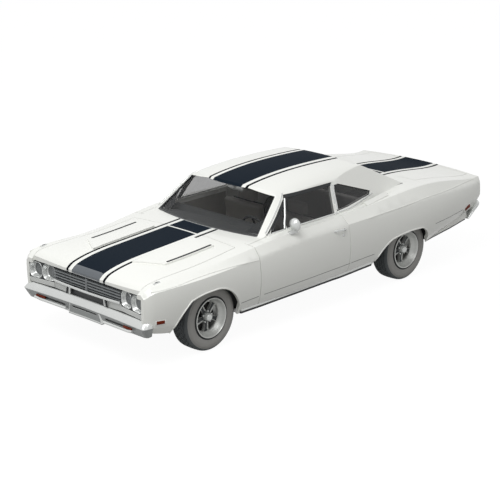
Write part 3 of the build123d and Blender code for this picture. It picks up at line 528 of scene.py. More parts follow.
def carved(shape, cutter):  # the first shape with the second cut out of it
    holders = []
    for name, part in (("blank", shape), ("cutter", cutter)):
        mesh = bpy.data.meshes.new(name)
        part.to_mesh(mesh)
        part.free()
        holder = bpy.data.objects.new(name, mesh)
        bpy.context.collection.objects.link(holder)
        holders.append(holder)
    blank, knife = holders
    cut = blank.modifiers.new("cut", "BOOLEAN")
    cut.operation = "DIFFERENCE"
    cut.solver = "EXACT"
    cut.object = knife
    bpy.context.view_layer.update()
    depsgraph = bpy.context.evaluated_depsgraph_get()
    result = bmesh.new()
    result.from_mesh(blank.evaluated_get(depsgraph).to_mesh())
    for holder in holders:
        mesh = holder.data
        bpy.data.objects.remove(holder)
        bpy.data.meshes.remove(mesh)
    return result


print("panels dressed")


# Road wheels, drawn round the origin with y outboard, then set on each axle

def spun(profile, steps, closed=False):
    shape = bmesh.new()
    verts = [shape.verts.new((0, y * mm, r * mm)) for y, r in profile]
    edges = [shape.edges.new(pair) for pair in zip(verts, verts[1:])]
    if closed:
        edges.append(shape.edges.new((verts[-1], verts[0])))
    bmesh.ops.spin(
        shape, geom=verts + edges, cent=(0, 0, 0), axis=(0, 1, 0), angle=math.tau, steps=steps, use_merge=True,
    )
    bmesh.ops.remove_doubles(shape, verts=shape.verts, dist=0.00001)
    bmesh.ops.recalc_face_normals(shape, faces=shape.faces)
    return shape


def bevelled(shape, width, segments=2, limit=30):
    sharp = [e for e in shape.edges if len(e.link_faces) == 2 and e.calc_face_angle() > math.radians(limit)]
    bmesh.ops.bevel(
        shape, geom=sharp, offset=width * mm, offset_type="OFFSET", affect="EDGES", segments=segments,
        profile=0.5, material=-1, clamp_overlap=True,
    )
    return shape


def slab(outline, low, high, axis="Y"):  # an outline in mm, given thickness along an axis
    shape = bmesh.new()
    place = {
        "X": lambda a, b, t: (t, a, b), "Y": lambda a, b, t: (a, t, b), "Z": lambda a, b, t: (a, b, t),
    }[axis]
    base = shape.faces.new([shape.verts.new(Vector(place(a, b, low)) * mm) for a, b in outline])
    grown = bmesh.ops.extrude_face_region(shape, geom=[base])["geom"]
    step = Vector(place(0, 0, high - low)) * mm
    bmesh.ops.translate(shape, vec=step, verts=[v for v in grown if isinstance(v, bmesh.types.BMVert)])
    bmesh.ops.recalc_face_normals(shape, faces=shape.faces)
    return shape


def turned(shape, degrees, axis="Y"):
    bmesh.ops.rotate(
        shape, verts=shape.verts, cent=(0, 0, 0), matrix=Matrix.Rotation(math.radians(degrees), 3, axis),
    )
    return shape


def moved(shape, vector):
    bmesh.ops.translate(shape, vec=vector, verts=shape.verts)
    return shape


def block(outline, low, high, axis="X"):  # a slab measured from the front axle
    return moved(slab(outline, low, high, axis), Vector((frontAxle, 0, 0)))


def axial(profile, steps, degrees, x, y, z):  # spun about a fore-and-aft axis: 90 faces back, -90 forward
    return moved(turned(spun(profile, steps), degrees, "Z"), fromAxle(x, y, z))


tyre = {
    "radius": 335, "grooves": (-66, -34, 0, 34, 66), "grooveDepth": 7, "crown": 0.0006, "steps": 144,
    "treadLine": 32, "beadLine": 216,
}
rimSizes = {
    "lipRadius": 199, "lipY": 118, "throatRadius": 180, "discRadius": 150, "discY": 44, "spokes": 5,
    "spokeTurn": 14,
    "spokeHub": 21, "spokeEnd": 37, "hubRadius": 60, "capRadius": 41, "capTip": 107, "nutCircle": 57,
    "nutRadius": 11,
}


def tyreShape():
    r = tyre["radius"]
    tread = []
    for centre in tyre["grooves"]:
        crown = r - centre ** 2 * tyre["crown"]
        low = crown - tyre["grooveDepth"]
        tread += [(centre - 6, crown), (centre - 4, low), (centre + 4, low), (centre + 6, crown)]
    side = [
        (80, r - 4), (88, r - 8), (96, r - 16), (102, r - 27), (106, r - 38), (107.5, r - 40), (108, r - 43),
        (109.5, r - 43), (112.5, r - 60), (113, r - 70), (112, r - 92), (110.5, r - 97), (111.5, r - 100),
        (110, r - 106), (106, r - 118), (104, 210), (106, 207), (103, 200), (100, 191),
    ]
    profile = [(-y, z) for y, z in reversed(side)] + tread + side
    shape = spun(profile, tyre["steps"], closed=True)
    # cross grooves cut the ribs between the round ones into blocks
    blocks = []
    for face in shape.faces:
        centre = face.calc_center_median()
        radius = math.hypot(centre.x, centre.z) / mm
        if radius > r - 4.5 and abs(centre.y) < 0.08 and face.calc_area() > 0.0001:
            turn = round(math.atan2(centre.x, centre.z) / math.tau * tyre["steps"] - 0.5)
            rib = round((centre.y / mm + 83) / 34)
            if (turn + rib * 2) % 4 == 0:
                blocks.append(face)
    cut = bmesh.ops.extrude_discrete_faces(shape, faces=blocks)["faces"]
    for face in cut:
        centre = face.calc_center_median()
        inward = Vector((-centre.x, 0, -centre.z)).normalized()
        bmesh.ops.scale(shape, vec=(1, 0.8, 1), space=Matrix.Translation(-centre), verts=face.verts)
        bmesh.ops.translate(shape, vec=inward * 5 * mm, verts=face.verts)
    return shape


def spokeShape():
    s = rimSizes
    near, far = s["hubRadius"] - 12, s["discRadius"] + 8
    faceY, backY = s["discY"] + 8, s["discY"] - 26
    outline = [
        (near, -s["spokeHub"]), (far - 34, -s["spokeHub"] - 3), (far, -s["spokeEnd"]),
        (far, s["spokeEnd"]), (far - 34, s["spokeHub"] + 3), (near, s["spokeHub"]),
    ]
    shape = slab(outline, backY, faceY, "Y")
    face = max(shape.faces, key=lambda f: f.calc_center_median().y)
    bmesh.ops.inset_region(shape, faces=[face], thickness=6 * mm, depth=0)
    bmesh.ops.translate(shape, vec=(0, -11 * mm, 0), verts=face.verts)
    bevelled(shape, 1.6)
    return shape


def rimShapes():
    s = rimSizes
    outer, lip = s["lipRadius"], s["lipY"]
    throat, disc, discY = s["throatRadius"], s["discRadius"], s["discY"]
    barrel = spun(
        [
            (-lip, outer - 12), (-lip, outer), (-lip + 9, outer), (-lip + 12, 191), (-70, 189), (-40, 176),
            (20, 176),
            (70, 189), (lip - 12, 191), (lip - 9, outer), (lip - 3, outer + 0.5), (lip, outer - 3),
            (lip, outer - 7),
            (lip - 4, outer - 10), (lip - 12, throat + 6), (lip - 26, throat), (lip - 44, throat - 9),
            (discY + 10, disc + 6), (discY, disc), (discY - 14, disc - 2), (discY - 18, disc + 6), (-30, 170),
            (-70, 182), (-lip + 8, 184),
        ],
        96, closed=True,
    )
    hub = spun(
        [
            (14, 0.1), (14, s["hubRadius"]), (discY - 14, s["hubRadius"] + 4), (discY + 2, s["hubRadius"] - 2),
            (discY + 6, s["hubRadius"] - 10), (discY + 6, s["capRadius"] + 6), (discY + 2, s["capRadius"]),
        ],
        60,
    )
    cap = spun(
        [
            (discY + 2, s["capRadius"]), (discY + 8, s["capRadius"] + 1.5), (discY + 12, s["capRadius"]),
            (s["capTip"] - 26, s["capRadius"] - 2), (s["capTip"] - 11, s["capRadius"] - 10),
            (s["capTip"] - 3, 16),
            (s["capTip"], 0.1),
        ],
        48,
    )
    nuts = []
    for i in range(s["spokes"]):
        nut = bmesh.new()
        bmesh.ops.create_cone(
            nut, cap_ends=True, segments=6, radius1=s["nutRadius"] * mm, radius2=s["nutRadius"] * 0.8 * mm,
            depth=18 * mm,
        )
        turned(nut, -90, "X")
        bevelled(nut, 1.2)
        moved(nut, Vector((s["nutCircle"], discY + 12, 0)) * mm)
        nuts.append(turned(nut, 36 + 72 * i + s["spokeTurn"]))
    spokes = [turned(spokeShape(), 72 * i + s["spokeTurn"]) for i in range(s["spokes"])]
    drum = spun([(-8, 0.1), (-8, 138), (-12, 142), (-60, 142), (-64, 120), (-64, 0.1)], 60)
    return barrel, joined(spokes), hub, joined([cap] + nuts), drum


def placed(shape, axleX, side):
    if side < 0:
        flipped(shape)
    return moved(shape, Vector((axleX, side * wheelY, wheelZ)))


# Vulcanised rubber: the sidewall has bloomed to grey, the tread is scuffed darker
sidewallRubber = grained("sidewallRubber", "#A5A4A1", "#9A9996", 1.5, 0.15, Roughness=0.75)
treadRubber = grained("treadRubber", "#6A6E70", "#54585A", 5, 0.8, Roughness=0.9)

wheelBits = dict(zip(("barrel", "spokes", "hub", "cap", "brake"), rimShapes()))
wheelBits["tyre"] = tyreShape()
for place, axleX, side in (
    ("front_left", frontAxle, 1), ("front_right", frontAxle, -1),
    ("rear_left", rearAxle, 1), ("rear_right", rearAxle, -1),
):
    body = "wheel_" + place
    rim = "rim_" + place
    bits = {name: placed(shape.copy(), axleX, side) for name, shape in wheelBits.items()}
    rubber = finished(
        bits["tyre"], "tyre_" + place + "_rubber", sidewallRubber, body, replaces="tyre_" + place, smooth=32,
    )
    treadLine = (tyre["radius"] - tyre["treadLine"]) * mm
    beadLine = tyre["beadLine"] * mm
    addMaterial(
        rubber, treadRubber,
        lambda p: math.hypot(p.center.x - axleX, p.center.z - wheelZ) > treadLine,
    )
    addMaterial(rubber, blackRubber, lambda p: math.hypot(p.center.x - axleX, p.center.z - wheelZ) < beadLine)
    finished(bits["barrel"], rim + "_barrel", machinedAluminium, body, replaces=rim)
    spokePiece = finished(bits["spokes"], rim + "_spokes", machinedAluminium, body, replaces=rim, smooth=25)
    pocketFront = (rimSizes["discY"] + 3) * mm
    addMaterial(
        spokePiece, castPocket,
        lambda p: (abs(p.center.y) - wheelY) < pocketFront and abs(p.normal.y) > 0.9 and p.area > 0.0004,
    )
    finished(bits["hub"], rim + "_hub", castPocket, body, replaces=rim, smooth=30)
    finished(bits["cap"], rim + "_cap", chromePlate, body, replaces=rim, smooth=40)
    finished(bits["brake"], "brake_" + place, axleIron, body, smooth=30)
print("road wheels ready")

# Bright trim and small fittings along the body

def outwards(path, reach, up):  # each point moved away from the loop's middle, along its surface
    middle = sum(path, Vector()) / len(path)
    result = []
    for point in path:
        away = point - middle
        away = (away - up * away.dot(up)).normalized()
        result.append(point + away * reach * mm)
    return result


def paneTrim(name, node, facing, width, height, reach, material, both=False):
    up = Vector(facing).normalized()
    path = edgePath(node, rimEdge(facing), 35)
    shape = swept(outwards(path, reach, up), up, bead(width, height), closed=True)
    if both:
        mirrorY(shape)
    return finished(shape, name, material)


trimSizes = {
    "screenWidth": 15, "screenHeight": 5, "screenReach": 5, "sealWidth": 9, "sealHeight": 3, "sealReach": -6,
    "quarterWidth": 8, "quarterHeight": 3, "quarterReach": -4, "railWidth": 12, "archWidth": 13, "archReach": 3,
    "sillZ": 322, "sillWidth": 28,
}
t = trimSizes
for node, facing in (("windshield", (0.55, 0, 0.83)), ("rear_window", (-0.45, 0, 0.89))):
    paneTrim(
        node + "_surround", node, facing, t["screenWidth"], t["screenHeight"], t["screenReach"], stainlessTrim,
    )
    paneTrim(
        node + "_seal", node, facing, t["sealWidth"], t["sealHeight"], t["sealReach"], blackRubber,
    )
print("screen surrounds ready")

# Roof rail gutter: from the foot of the front pillar, over the door, to the tip of the quarter window
gutter = flankLine([(-868, 962), (-1050, 1101), (-1225, 1240), (-1262, 1262)], 60, 1)
finished(
    mirrorY(swept(gutter, (0, 0.8, 0.6), bead(t["railWidth"], 7))), "roof_gutter", stainlessTrim,
)


# Rocker moulding along the sill, carried straight over the gap under the door
def sillPoint(x, z):
    point = onSide(x, z)
    return point if point.y > 0.85 else Vector((point.x, onSide(x, t["sillZ"]).y + 0.004, z * mm))


sillLine = [(-372, t["sillZ"]), (-1900, t["sillZ"] + 14), (-2320, t["sillZ"] + 27)]
sillPath = [sillPoint(x, z) for x, z in subdivided(sillLine, 90)]
finished(
    mirrorY(swept(sillPath, (0, 1, 0.9), bead(t["sillWidth"], 8))), "sill_moulding", chromePlate,
)


# Rolled lips round the wheel openings
def archEdge(axleX):
    def chosen(edge):
        middle = (edge.verts[0].co + edge.verts[1].co) / 2
        if not -0.335 < middle.x - axleX < 0.57 or not 0.312 < middle.z < 0.66 or edge.calc_face_angle() < 0.7:
            return False
        faces = edge.link_faces
        skin = any(f.normal.y > 0.6 for f in faces)
        rim = any(
            abs(f.normal.y) < 0.35 and f.normal.dot(middle - Vector((axleX, middle.y, 0.3))) < 0
            for f in faces
        )
        return skin and rim
    return chosen


for node, axleX in (("fender_left", frontAxle), ("quarter_left", rearAxle)):
    path = edgePath(node, archEdge(axleX), 40)
    lip = swept(outwards(path, t["archReach"], Vector((0, 1, 0))), (0, 1, 0), bead(t["archWidth"], 6))
    for side in ("left", "right"):
        finished(onSideOf(lip.copy(), side), node[:-5] + "_lip_" + side, whiteEnamel)
    lip.free()
print("gutters, sills and arch lips ready")

# Black flange under the rocker; its black is also a painted shade under the sill
flangePath = [p + Vector((0, 0.002, -0.024)) for p in sillPath]
finished(
    mirrorY(swept(flangePath, (0, 1, -0.3), rect(-10, 10, -12, 3))), "sill_flange_and_shade", blackRubber,
)

# Door: pillar strips, belt moulding, handle and lock, and a black disc under the handle's rear end that is a
# painted shadow
doorSizes = {
    "belt": (-862, -1912, 957), "post": [(-1893, 962), (-1937, 1238)], "divider": [(-1120, 962), (-1243, 1222)],
    "handle": ((-1685, 838), (-1862, 823)),
    "lock": (-1826, 772), "handleShadow": (-1846, 824),
}
beltFront, beltRear, beltZ = doorSizes["belt"]
belt = [
    onSide(x, beltZ - (x + 900) * 0.004 - 4, 1)
    for x, _ in subdivided([(beltFront, 0), (beltRear, 0)], 80)
]
doorTrim = joined([
    swept(flankLine(doorSizes["post"], 60, 1.5), (0, 1, 0.4), bead(22, 5)),
    swept(flankLine(doorSizes["divider"], 60, 1.5), (0, 1, 0.4), bead(20, 7)),
    swept(belt, (0, 0.6, 0.8), bead(13, 5)),
])

grip = flankLine(doorSizes["handle"], 30, 22)
ends = [onSide(*doorSizes["handle"][0], 2), onSide(*doorSizes["handle"][1], 2)]
handle = swept([ends[0]] + grip[1:-1] + [ends[1]], (0, 1, 0), bead(17, 8))
lockPlace = onSide(*doorSizes["lock"], 0)
lock = moved(spun([(0, 0.1), (0, 15), (4, 15), (6, 12), (6, 8), (3, 7), (3, 0.1)], 32), lockPlace)
doorHandle = joined([handle, lock])
# A black disc at the rear end of the handle: a painted shadow
handleShadow = moved(spun([(0, 0.1), (0, 11), (14, 11), (18, 8), (19, 0.1)], 28), onSide(*doorSizes["handleShadow"]))


# Bullet mirror: a domed shell, spun about the fore-and-aft axis, on a tapering stalk and a foot
mirrorSizes = {"centre": (-1134, 906, 1024), "radius": 66, "depth": 50, "foot": (-1134, 876, 946)}


def mirrorHead():
    r, d = mirrorSizes["radius"], mirrorSizes["depth"]
    profile = [
        (d, 0.1), (d - 3, 16), (d - 10, 32), (d - 22, 46), (d - 38, r - 2), (0, r), (-10, r), (-14, r - 2),
        (-14, r - 5), (-8, r - 7), (-8, 0.1),
    ]
    head = spun(profile, 56)
    return moved(turned(head, -90, "Z"), fromAxle(*mirrorSizes["centre"]))


def mirrorStalk():
    x, y, z = mirrorSizes["foot"]
    cx, cy, cz = mirrorSizes["centre"]
    path = axleLine(
        [(x, y - 6, z - 2), (x, y + 6, z + 12), (x + 2, y + 22, z + 28), (cx, cy, cz - 48), (cx, cy, cz - 30)],
    )
    stalk = swept(path, (1, 0, 0), [(-17, -24), (17, -24), (20, 0), (17, 24), (-17, 24), (-20, 0)])
    pad = block(
        [(x - 48, y - 22), (x + 48, y - 22), (x + 56, y), (x + 48, y + 26), (x - 48, y + 26), (x - 56, y)],
        z - 16, z + 8, "Z",
    )
    bevelled(pad, 3)
    return joined([stalk, pad])


mirrorBits = joined([mirrorHead(), mirrorStalk()])
for side in ("left", "right"):
    body = "door_" + side
    finished(onSideOf(doorTrim.copy(), side), "door_trim_" + side, stainlessTrim, body)
    finished(onSideOf(doorHandle.copy(), side), "door_handle_" + side, chromePlate, body)
    finished(onSideOf(handleShadow.copy(), side), "door_button_" + side, blackRubber, body)
finished(mirrorBits, "door_mirror_head", chromePlate, "door_left", replaces="door_mirror", smooth=30)
print("door fittings ready")

# Quarter window surrounds and the rear half of the pillar
paneTrim(
    "quarter_window_seal", "quarter_windows", (0, 1, 0.4), t["quarterWidth"], t["quarterHeight"],
    t["quarterReach"], blackRubber, both=True,
)
rearPost = flankLine([(-1925, 985), (-1962, 1222)], 60, 1.5)
quarterBelt = flankLine([(-1926, 962), (-2200, 975), (-2440, 1003), (-2560, 1018)], 60, 1)
finished(
    mirrorY(
        joined([swept(rearPost, (0, 1, 0.4), bead(20, 4)), swept(quarterBelt, (0, 0.6, 0.8), bead(13, 5))]),
    ),
    "quarter_window_trim", stainlessTrim,
)

# Hood slits: a black strip in each slit, one over each bulge, as painted shade inside the slit
slit = {"y": 543, "front": 259, "rear": -327, "width": 15}
slitPath = [onTop(x, slit["y"], 0.5) for x, _ in subdivided([(slit["front"], 0), (slit["rear"], 0)], 60)]
slitShade = swept(slitPath, (0, 0, 1), rect(-11, 11, -4, 14.5))
finished(mirrorY(slitShade), "hood_slit_shades", blackRubber, "hood")

# Turn signal repeaters on the fender tops
repeater = {"points": ((688, 820), (612, 820)), "width": 22}
repeaterPath = [onTop(x, y, 0) for x, y in subdivided(repeater["points"], 20)]
finished(
    mirrorY(swept(repeaterPath, (0, 0, 1), bead(repeater["width"], 10))), "fender_repeaters", chromePlate,
)
lensPath = [p + Vector((0, 0, 0.006)) for p in repeaterPath[1:-1]]
finished(
    mirrorY(swept(lensPath, (0, 0, 1), bead(15, 6))), "fender_repeater_lenses", blackRubber,
)
print("hood and fender fittings ready")

# Pressed shoulder line along the fenders and quarters
shoulder = {
    "front": ((775, 788), (595, 794), (289, 802), (0, 804), (-324, 803), (-590, 793)),
    "rear": ((-2240, 852), (-2500, 857), (-2797, 863), (-3252, 881), (-3725, 880), (-4150, 884)),
}
for place, points in shoulder.items():
    line = flankLine(points, 70, 0)
    ridge = mirrorY(swept(line, (0, 1, 0.3), bead(13, 3)))
    finished(ridge, place + "_shoulder_line", whiteEnamel, smooth=20)

# Lead-filled joint at the foot of the rear pillar
joint = axleLine(
    ((-2330, 806, 968), (-2430, 796, 974), (-2525, 786, 981), (-2620, 778, 989), (-2715, 770, 998)),
)
finished(
    mirrorY(swept(joint, (0, 0.6, 0.8), rect(-26, 26, -4, 0))), "pillar_joint", whiteEnamel,
)

# The quarter's turned-in lower edge behind the wheel, closed up to the panel, and a black strip under it as
# painted shade
hemPoints = ((-3275, 882, 368), (-3400, 882, 386), (-3694, 886, 424), (-3850, 889, 451), (-3960, 891, 471))
hem = swept([fromAxle(x, y - 4, z + 15) for x, y, z in hemPoints], (0, 1, 0), rect(-15, 15, -8, 2))
filler = swept(
    [fromAxle(x, y - 5, z + 52) for x, y, z in hemPoints[1:] + ((-3985, 891, 476),)], (0, 1, 0),
    rect(-45, 45, -8, 1),
)
finished(mirrorY(joined([hem, filler])), "quarter_hem", whiteEnamel)
# The black strip under the edge is painted shade
hemShade = swept([fromAxle(x, y - 2, z - 3) for x, y, z in hemPoints], (0, 1, 0), rect(-5, 5, -9, 3))
finished(mirrorY(hemShade), "quarter_hem_shade", blackRubber)

# Splash shields that close the back of each front arch
shield = bevelled(
    block([(640, 296), (885, 296), (918, 400), (930, 460), (930, 620), (640, 640)], -386, -382), 0.6,
)
finished(mirrorY(shield), "splash_shields", chassisBlack)

# Lower body crease: a low bead along each panel in darker enamel, a painted shade under the pressed line
creases = {
    "fender": ("body", ((-345, 412), (-470, 418), (-585, 423))),
    "door": ("door_", ((-604, 424), (-1000, 430), (-1500, 436), (-1936, 440))),
    "quarter": ("body", ((-1956, 441), (-2150, 444), (-2330, 447))),
    "tail": ("body", ((-3330, 566), (-3456, 574), (-3669, 588), (-3871, 600))),
}
for panel, (body, points) in creases.items():
    line = [p for p in flankLine(points, 60, 0) if p.y < 1]
    for side in ("left", "right"):
        shade = swept(line, (0, 1, -0.4), bead(8, 1.6))
        owner = body + side if body == "door_" else body
        finished(
            onSideOf(shade, side), panel + "_crease_shade_" + side, creaseShade, owner,
            smooth=20,
        )

# Inner houses over the rear wheels, which the open trunk shows
houseLine = [
    (590, 322), (500, 470), (350, 640), (150, 712), (-60, 716), (-230, 660), (-335, 540), (-352, 376),
]
houseInside = [(x * 0.985, z - 6) for x, z in reversed(houseLine)]


def houseSlab(outline, low, high):
    return moved(slab(outline, low, high, "Y"), Vector((rearAxle, 0, 0)))


houses = joined([houseSlab(houseLine + houseInside, 604, 868), houseSlab(houseLine, 600, 604)])
finished(mirrorY(houses), "wheel_houses", chassisBlack)
print("side trim ready")

# Front end

# Silver argent paint on pressed steel, flatter than the plate beside it
argentPaint = grained("argentPaint", "#C9CBC8", "#BFC1BF", 12, 0.03, Metallic=0.25, Roughness=0.42)
# Die-cast grille bars in dark satin silver
satinBar = grained("satinBar", "#8E9192", "#6F7375", 5, 0.4, Metallic=0.3, Roughness=0.4)
# Moulded amber acrylic over a reflector
amberLens = grained("amberLens", "#7A2606", "#4E1603", 2, 0.6, Roughness=0.5, Specular_IOR_Level=0.15)


# Sealed-beam lamp glass: pressed flutes over a bright bowl, so it reads as mottled grey
def lampGlassMaterial():
    material, tree, shader = newMaterial("lampGlass", "#6B7072", Metallic=0.2, Roughness=0.2, Coat_Weight=0.3)
    coords = objectCoords(tree)
    flutes = addNode(
        tree, "ShaderNodeTexWave", {"bands_direction": "Y", "Scale": 26.0, "Distortion": 0.6, "Detail": 1.0},
        {"Vector": coords},
    )
    cloud = addNode(
        tree, "ShaderNodeTexNoise", {"Scale": 34.0, "Detail": 3.0, "Distortion": 1.2}, {"Vector": coords},
    )
    mix = addNode(
        tree, "ShaderNodeMix", {"data_type": "RGBA", 6: linear("#1B1E20"), 7: linear("#8E9293")},
        {0: cloud.outputs[0]},
    )
    tree.links.new(mix.outputs[2], shader.inputs["Base Color"])
    addBump(tree, shader, flutes.outputs[1], 0.002, 0.6)
    return material


lampGlass = lampGlassMaterial()

grilleSizes = {
    "half": 482, "faceX": 806, "backX": 778, "low": 590, "high": 722,
    "barPlaces": ((696, 8), (668, 8), (640, 8), (613, 4)),
    "mouldingZ": 594, "openHalf": 252, "openLow": 510,
}


def across(x, z, half, step=60, bow=0.0, drop=0.0):
    count = max(2, round(2 * half / step))
    points = []
    for i in range(count + 1):
        y = -half + 2 * half * i / count
        share = (y / half) ** 2
        points.append(fromAxle(x - bow * share, y, z + drop * share))
    return points


g = grilleSizes
back = block(rect(-g["half"], g["half"], g["openLow"] - 10, g["high"] + 4), g["backX"] - 12, g["backX"])
finished(back, "grille_field", grilleBlack, replaces="grille", smooth=30)
bars = []
for z, half in g["barPlaces"]:
    section = [(-half, -20), (half, -20), (half - 1, 3), (half - 4, 8), (4 - half, 8), (1 - half, 3)]
    bars.append(swept(across(g["faceX"] - 9, z, g["half"]), (1, 0, 0), section))
for y in range(-468, 469, 26):  # the fine uprights behind the bars
    bars.append(block(rect(y - 1.5, y + 1.5, g["low"], g["high"]), g["backX"], g["faceX"] - 14))
for y in (-8, 8):
    bars.append(block(rect(y - 5, y + 5, g["low"], g["high"]), g["faceX"] - 26, g["faceX"] + 3))
for y in (-236, 236):
    bars.append(block(rect(y - 2, y + 2, g["low"], g["high"]), g["faceX"] - 26, g["faceX"] - 6))
finished(joined(bars), "grille_bars", satinBar, replaces="grille")

moulding = [swept(across(g["faceX"] + 2, g["mouldingZ"] - 10, g["half"], drop=12), (1, 0, 0), bead(24, 9))]
for side in (1, -1):
    y = side * g["openHalf"]
    post = axleLine(
        [(g["faceX"] - 2, y, 584), (g["faceX"] - 6, y + side * 6, 548), (g["faceX"] - 10, y + side * 10, 510)],
    )
    moulding.append(swept(post, (1, 0, 0), bead(12, 6)))
rim = []
for side in (1, -1):  # bright edge round the lower opening, and the dark slash outboard of it
    edge = [
        (side * (g["openHalf"] - 34), 588), (side * (g["openHalf"] - 14), 582),
        (side * (g["openHalf"] - 3), 566), (side * g["openHalf"], 540), (side * (g["openHalf"] + 4), 508),
    ]
    moulding.append(swept([fromAxle(g["faceX"] - 6, y, z) for y, z in edge], (1, 0, 0), bead(15, 9)))
    slash = [
        (side * (g["openHalf"] + 22), 578), (side * (g["openHalf"] + 33), 556),
        (side * (g["openHalf"] + 42), 510),
    ]
    rim.append(swept([fromAxle(g["faceX"] + 1, y, z) for y, z in slash], (1, 0, 0), bead(13, 9)))
finished(joined(rim), "grille_slashes", grilleBlack)
finished(joined(moulding), "grille_moulding", chromePlate)
sidePanels = []
for side in (1, -1):
    outline = [(side * 276, 508), (side * 484, 512), (side * 484, 584), (side * 272, 576)]
    panel = block(outline, g["faceX"] - 30, g["faceX"] - 8)
    sidePanels.append(bevelled(panel, 4, 2))
    filler = [fromAxle(794 + (y - 486) * 0.11, side * y, 538) for y in (486, 560, 640, 720, 790, 826)]
    sidePanels.append(swept(filler, (1, 0, 0), [(-23, -26), (23, -26), (23, 2), (20, 5), (-20, 5), (-23, 2)]))
finished(joined(sidePanels), "lamp_filler_panels", argentPaint)
print("grille ready")

# Lamps: four sealed beams deep in bright cups, set in a black slanting bezel
lampSizes = {"rim": 82, "glass": 67, "cup": 48, "z": 648, "places": ((565, 799), (737, 822)), "slope": 0.14}
bezel = cleanCopy("headlamps")
holes = []
for side in (1, -1):
    for y, faceX in lampSizes["places"]:
        outline = []
        for i in range(64):
            c, s = math.cos(2 * math.pi * i / 64), math.sin(2 * math.pi * i / 64)
            r = (lampSizes["rim"] - 1) * (abs(c) ** 3 + abs(s) ** 3) ** (-1 / 3)
            outline.append((side * y + c * r * 1.03, lampSizes["z"] + s * r))
        holes.append(block(outline, faceX - 62, faceX + 50))
finished(carved(bezel, joined(holes)), "lamp_bezels", grilleBlack, replaces="headlamps", smooth=30)
cups, lenses = [], []
for y, faceX in lampSizes["places"]:
    rim, glass, cup = lampSizes["rim"], lampSizes["glass"], lampSizes["cup"]
    shell = spun(
        [
            (-cup - 8, glass + 2), (-cup, glass + 3), (-8, rim - 2), (1, rim), (3, rim - 1), (3, rim - 3),
            (-3, rim - 6),
            (-cup + 14, glass + 6), (-cup + 4, glass + 1), (-cup + 2, glass - 2), (-cup - 8, glass - 2),
        ],
        80, closed=True,
    )
    lens = spun(
        [
            (-cup - 4, glass - 1), (-cup + 3, glass - 2), (-cup + 8, glass - 8), (-cup + 13, glass - 22),
            (-cup + 16, 20), (-cup + 17, 0.1),
        ],
        80,
    )
    for shape, group in ((shell, cups), (lens, lenses)):
        turned(shape, -90, "Z")
        for vert in shape.verts:  # the rims follow the bezel's slant
            away = max(0, 1 + vert.co.x / (cup * mm))
            vert.co.x += vert.co.y * lampSizes["slope"] * away
            angle = math.atan2(vert.co.z, vert.co.y)
            square = (abs(math.cos(angle)) ** 3 + abs(math.sin(angle)) ** 3) ** (-1 / 3)
            vert.co.y *= 1 + min(1, away) * (square * 1.03 - 1)
            vert.co.z *= 1 + min(1, away) * (square - 1)
        group.append(moved(shape, fromAxle(faceX, y, lampSizes["z"])))
finished(mirrorY(joined(cups)), "headlamp_cups", chromePlate, smooth=32)
finished(mirrorY(joined(lenses)), "headlamp_lenses", lampGlass, smooth=40)
print("headlamps ready")

# Front blade: above the crease it leans back, below it tucks under, and its ends turn round the fenders
bladeStations = [  # crease, top edge and foot, in mm
    ((840, 0, 441), (797, 0, 500), (826, 0, 322)), ((845, 200, 441), (801, 200, 501), (831, 240, 322)),
    ((845, 214, 441), (802, 214, 501), (815, 262, 334)), ((849, 300, 442), (806, 300, 502), (822, 312, 338)),
    ((858, 520, 443), (818, 518, 504), (832, 520, 347)),
    ((867, 660, 443), (826, 656, 506), (836, 658, 352)), ((877, 800, 443), (832, 786, 507), (836, 796, 352)),
    ((879, 856, 443), (830, 830, 503), (830, 828, 348)), ((870, 878, 443), (822, 852, 498), (818, 850, 346)),
    ((842, 890, 444), (808, 876, 489), (806, 868, 348)), ((782, 901, 446), (786, 900, 468), (784, 889, 362)),
]


def bladeSection(crease, top, foot, wall=16):
    c, t, f = Vector(crease), Vector(top), Vector(foot)
    back = Vector((-wall, -wall * max(0, (c.y - 780) / 150), 0))
    lip = f + Vector((5, 0, 9)) if c.y < 870 else f + Vector((0, 2, 5))
    points = [
        t + back * 1.2, t, t.lerp(c, 0.86), c, c.lerp(f, 0.1), f.lerp(c, 0.18), lip, f, f + back,
        f.lerp(c, 0.2) + back, c.lerp(f, 0.2) + back, c.lerp(t, 0.3) + back,
    ]
    return [tuple(p) for p in points]


blade = mirroredHalf(lofted([bladeSection(*station) for station in bladeStations]))
slots = []
for side in (1, -1):
    outline = [
        (side * 290, 382), (side * 284, 404), (side * 330, 410), (side * 660, 414), (side * 706, 404),
        (side * 690, 394), (side * 600, 388),
    ]
    slots.append(block(outline, 780, 900))
slots.append(
    block([(-180, 400), (160, 400), (176, 404), (178, 412), (170, 419), (-170, 419), (-180, 412)], 818, 900),
)
blade = carved(blade, joined(slots))
frontBlade = finished(
    bevelled(blade, 1.2, 2, 30), "front_bumper_blade", chromePlate, replaces="front_bumper", smooth=24,
)
# Faces that point down get the darker plate: painted shade and a painted reflection
addMaterial(frontBlade, chromeShade, lambda p: p.normal.z < -0.08)
backing, lips, signals = [], [], []
for side in (1, -1):
    fill = lofted(
        [
            [(x - 6, side * y, 372), (x, side * y, 372), (x, side * y, 424), (x - 6, side * y, 424)]
            for x, y in ((814, 276), (836, 520), (845, 716))
        ],
    )
    backing.append(fill)
    lip = [
        fromAxle(x, side * y, z)
        for y, z, x in ((276, 364, 838), (400, 368, 846), (520, 371, 854), (640, 375, 863), (712, 386, 870))
    ]
    lips.append(swept(lip, (1, 0, 0.9), bead(26, 12)))
    lens = [fromAxle(x, side * y, z) for y, z, x in ((572, 400, 852), (630, 401, 857), (698, 402, 862))]
    signals.append(swept(lens, (1, 0, 0), bead(21, 6)))
backing.append(block(rect(-190, 186, 392, 426), 806, 822))
brackets = [block(rect(y - 25, y + 25, 430, 480), 668, 812) for y in (-390, 390)]
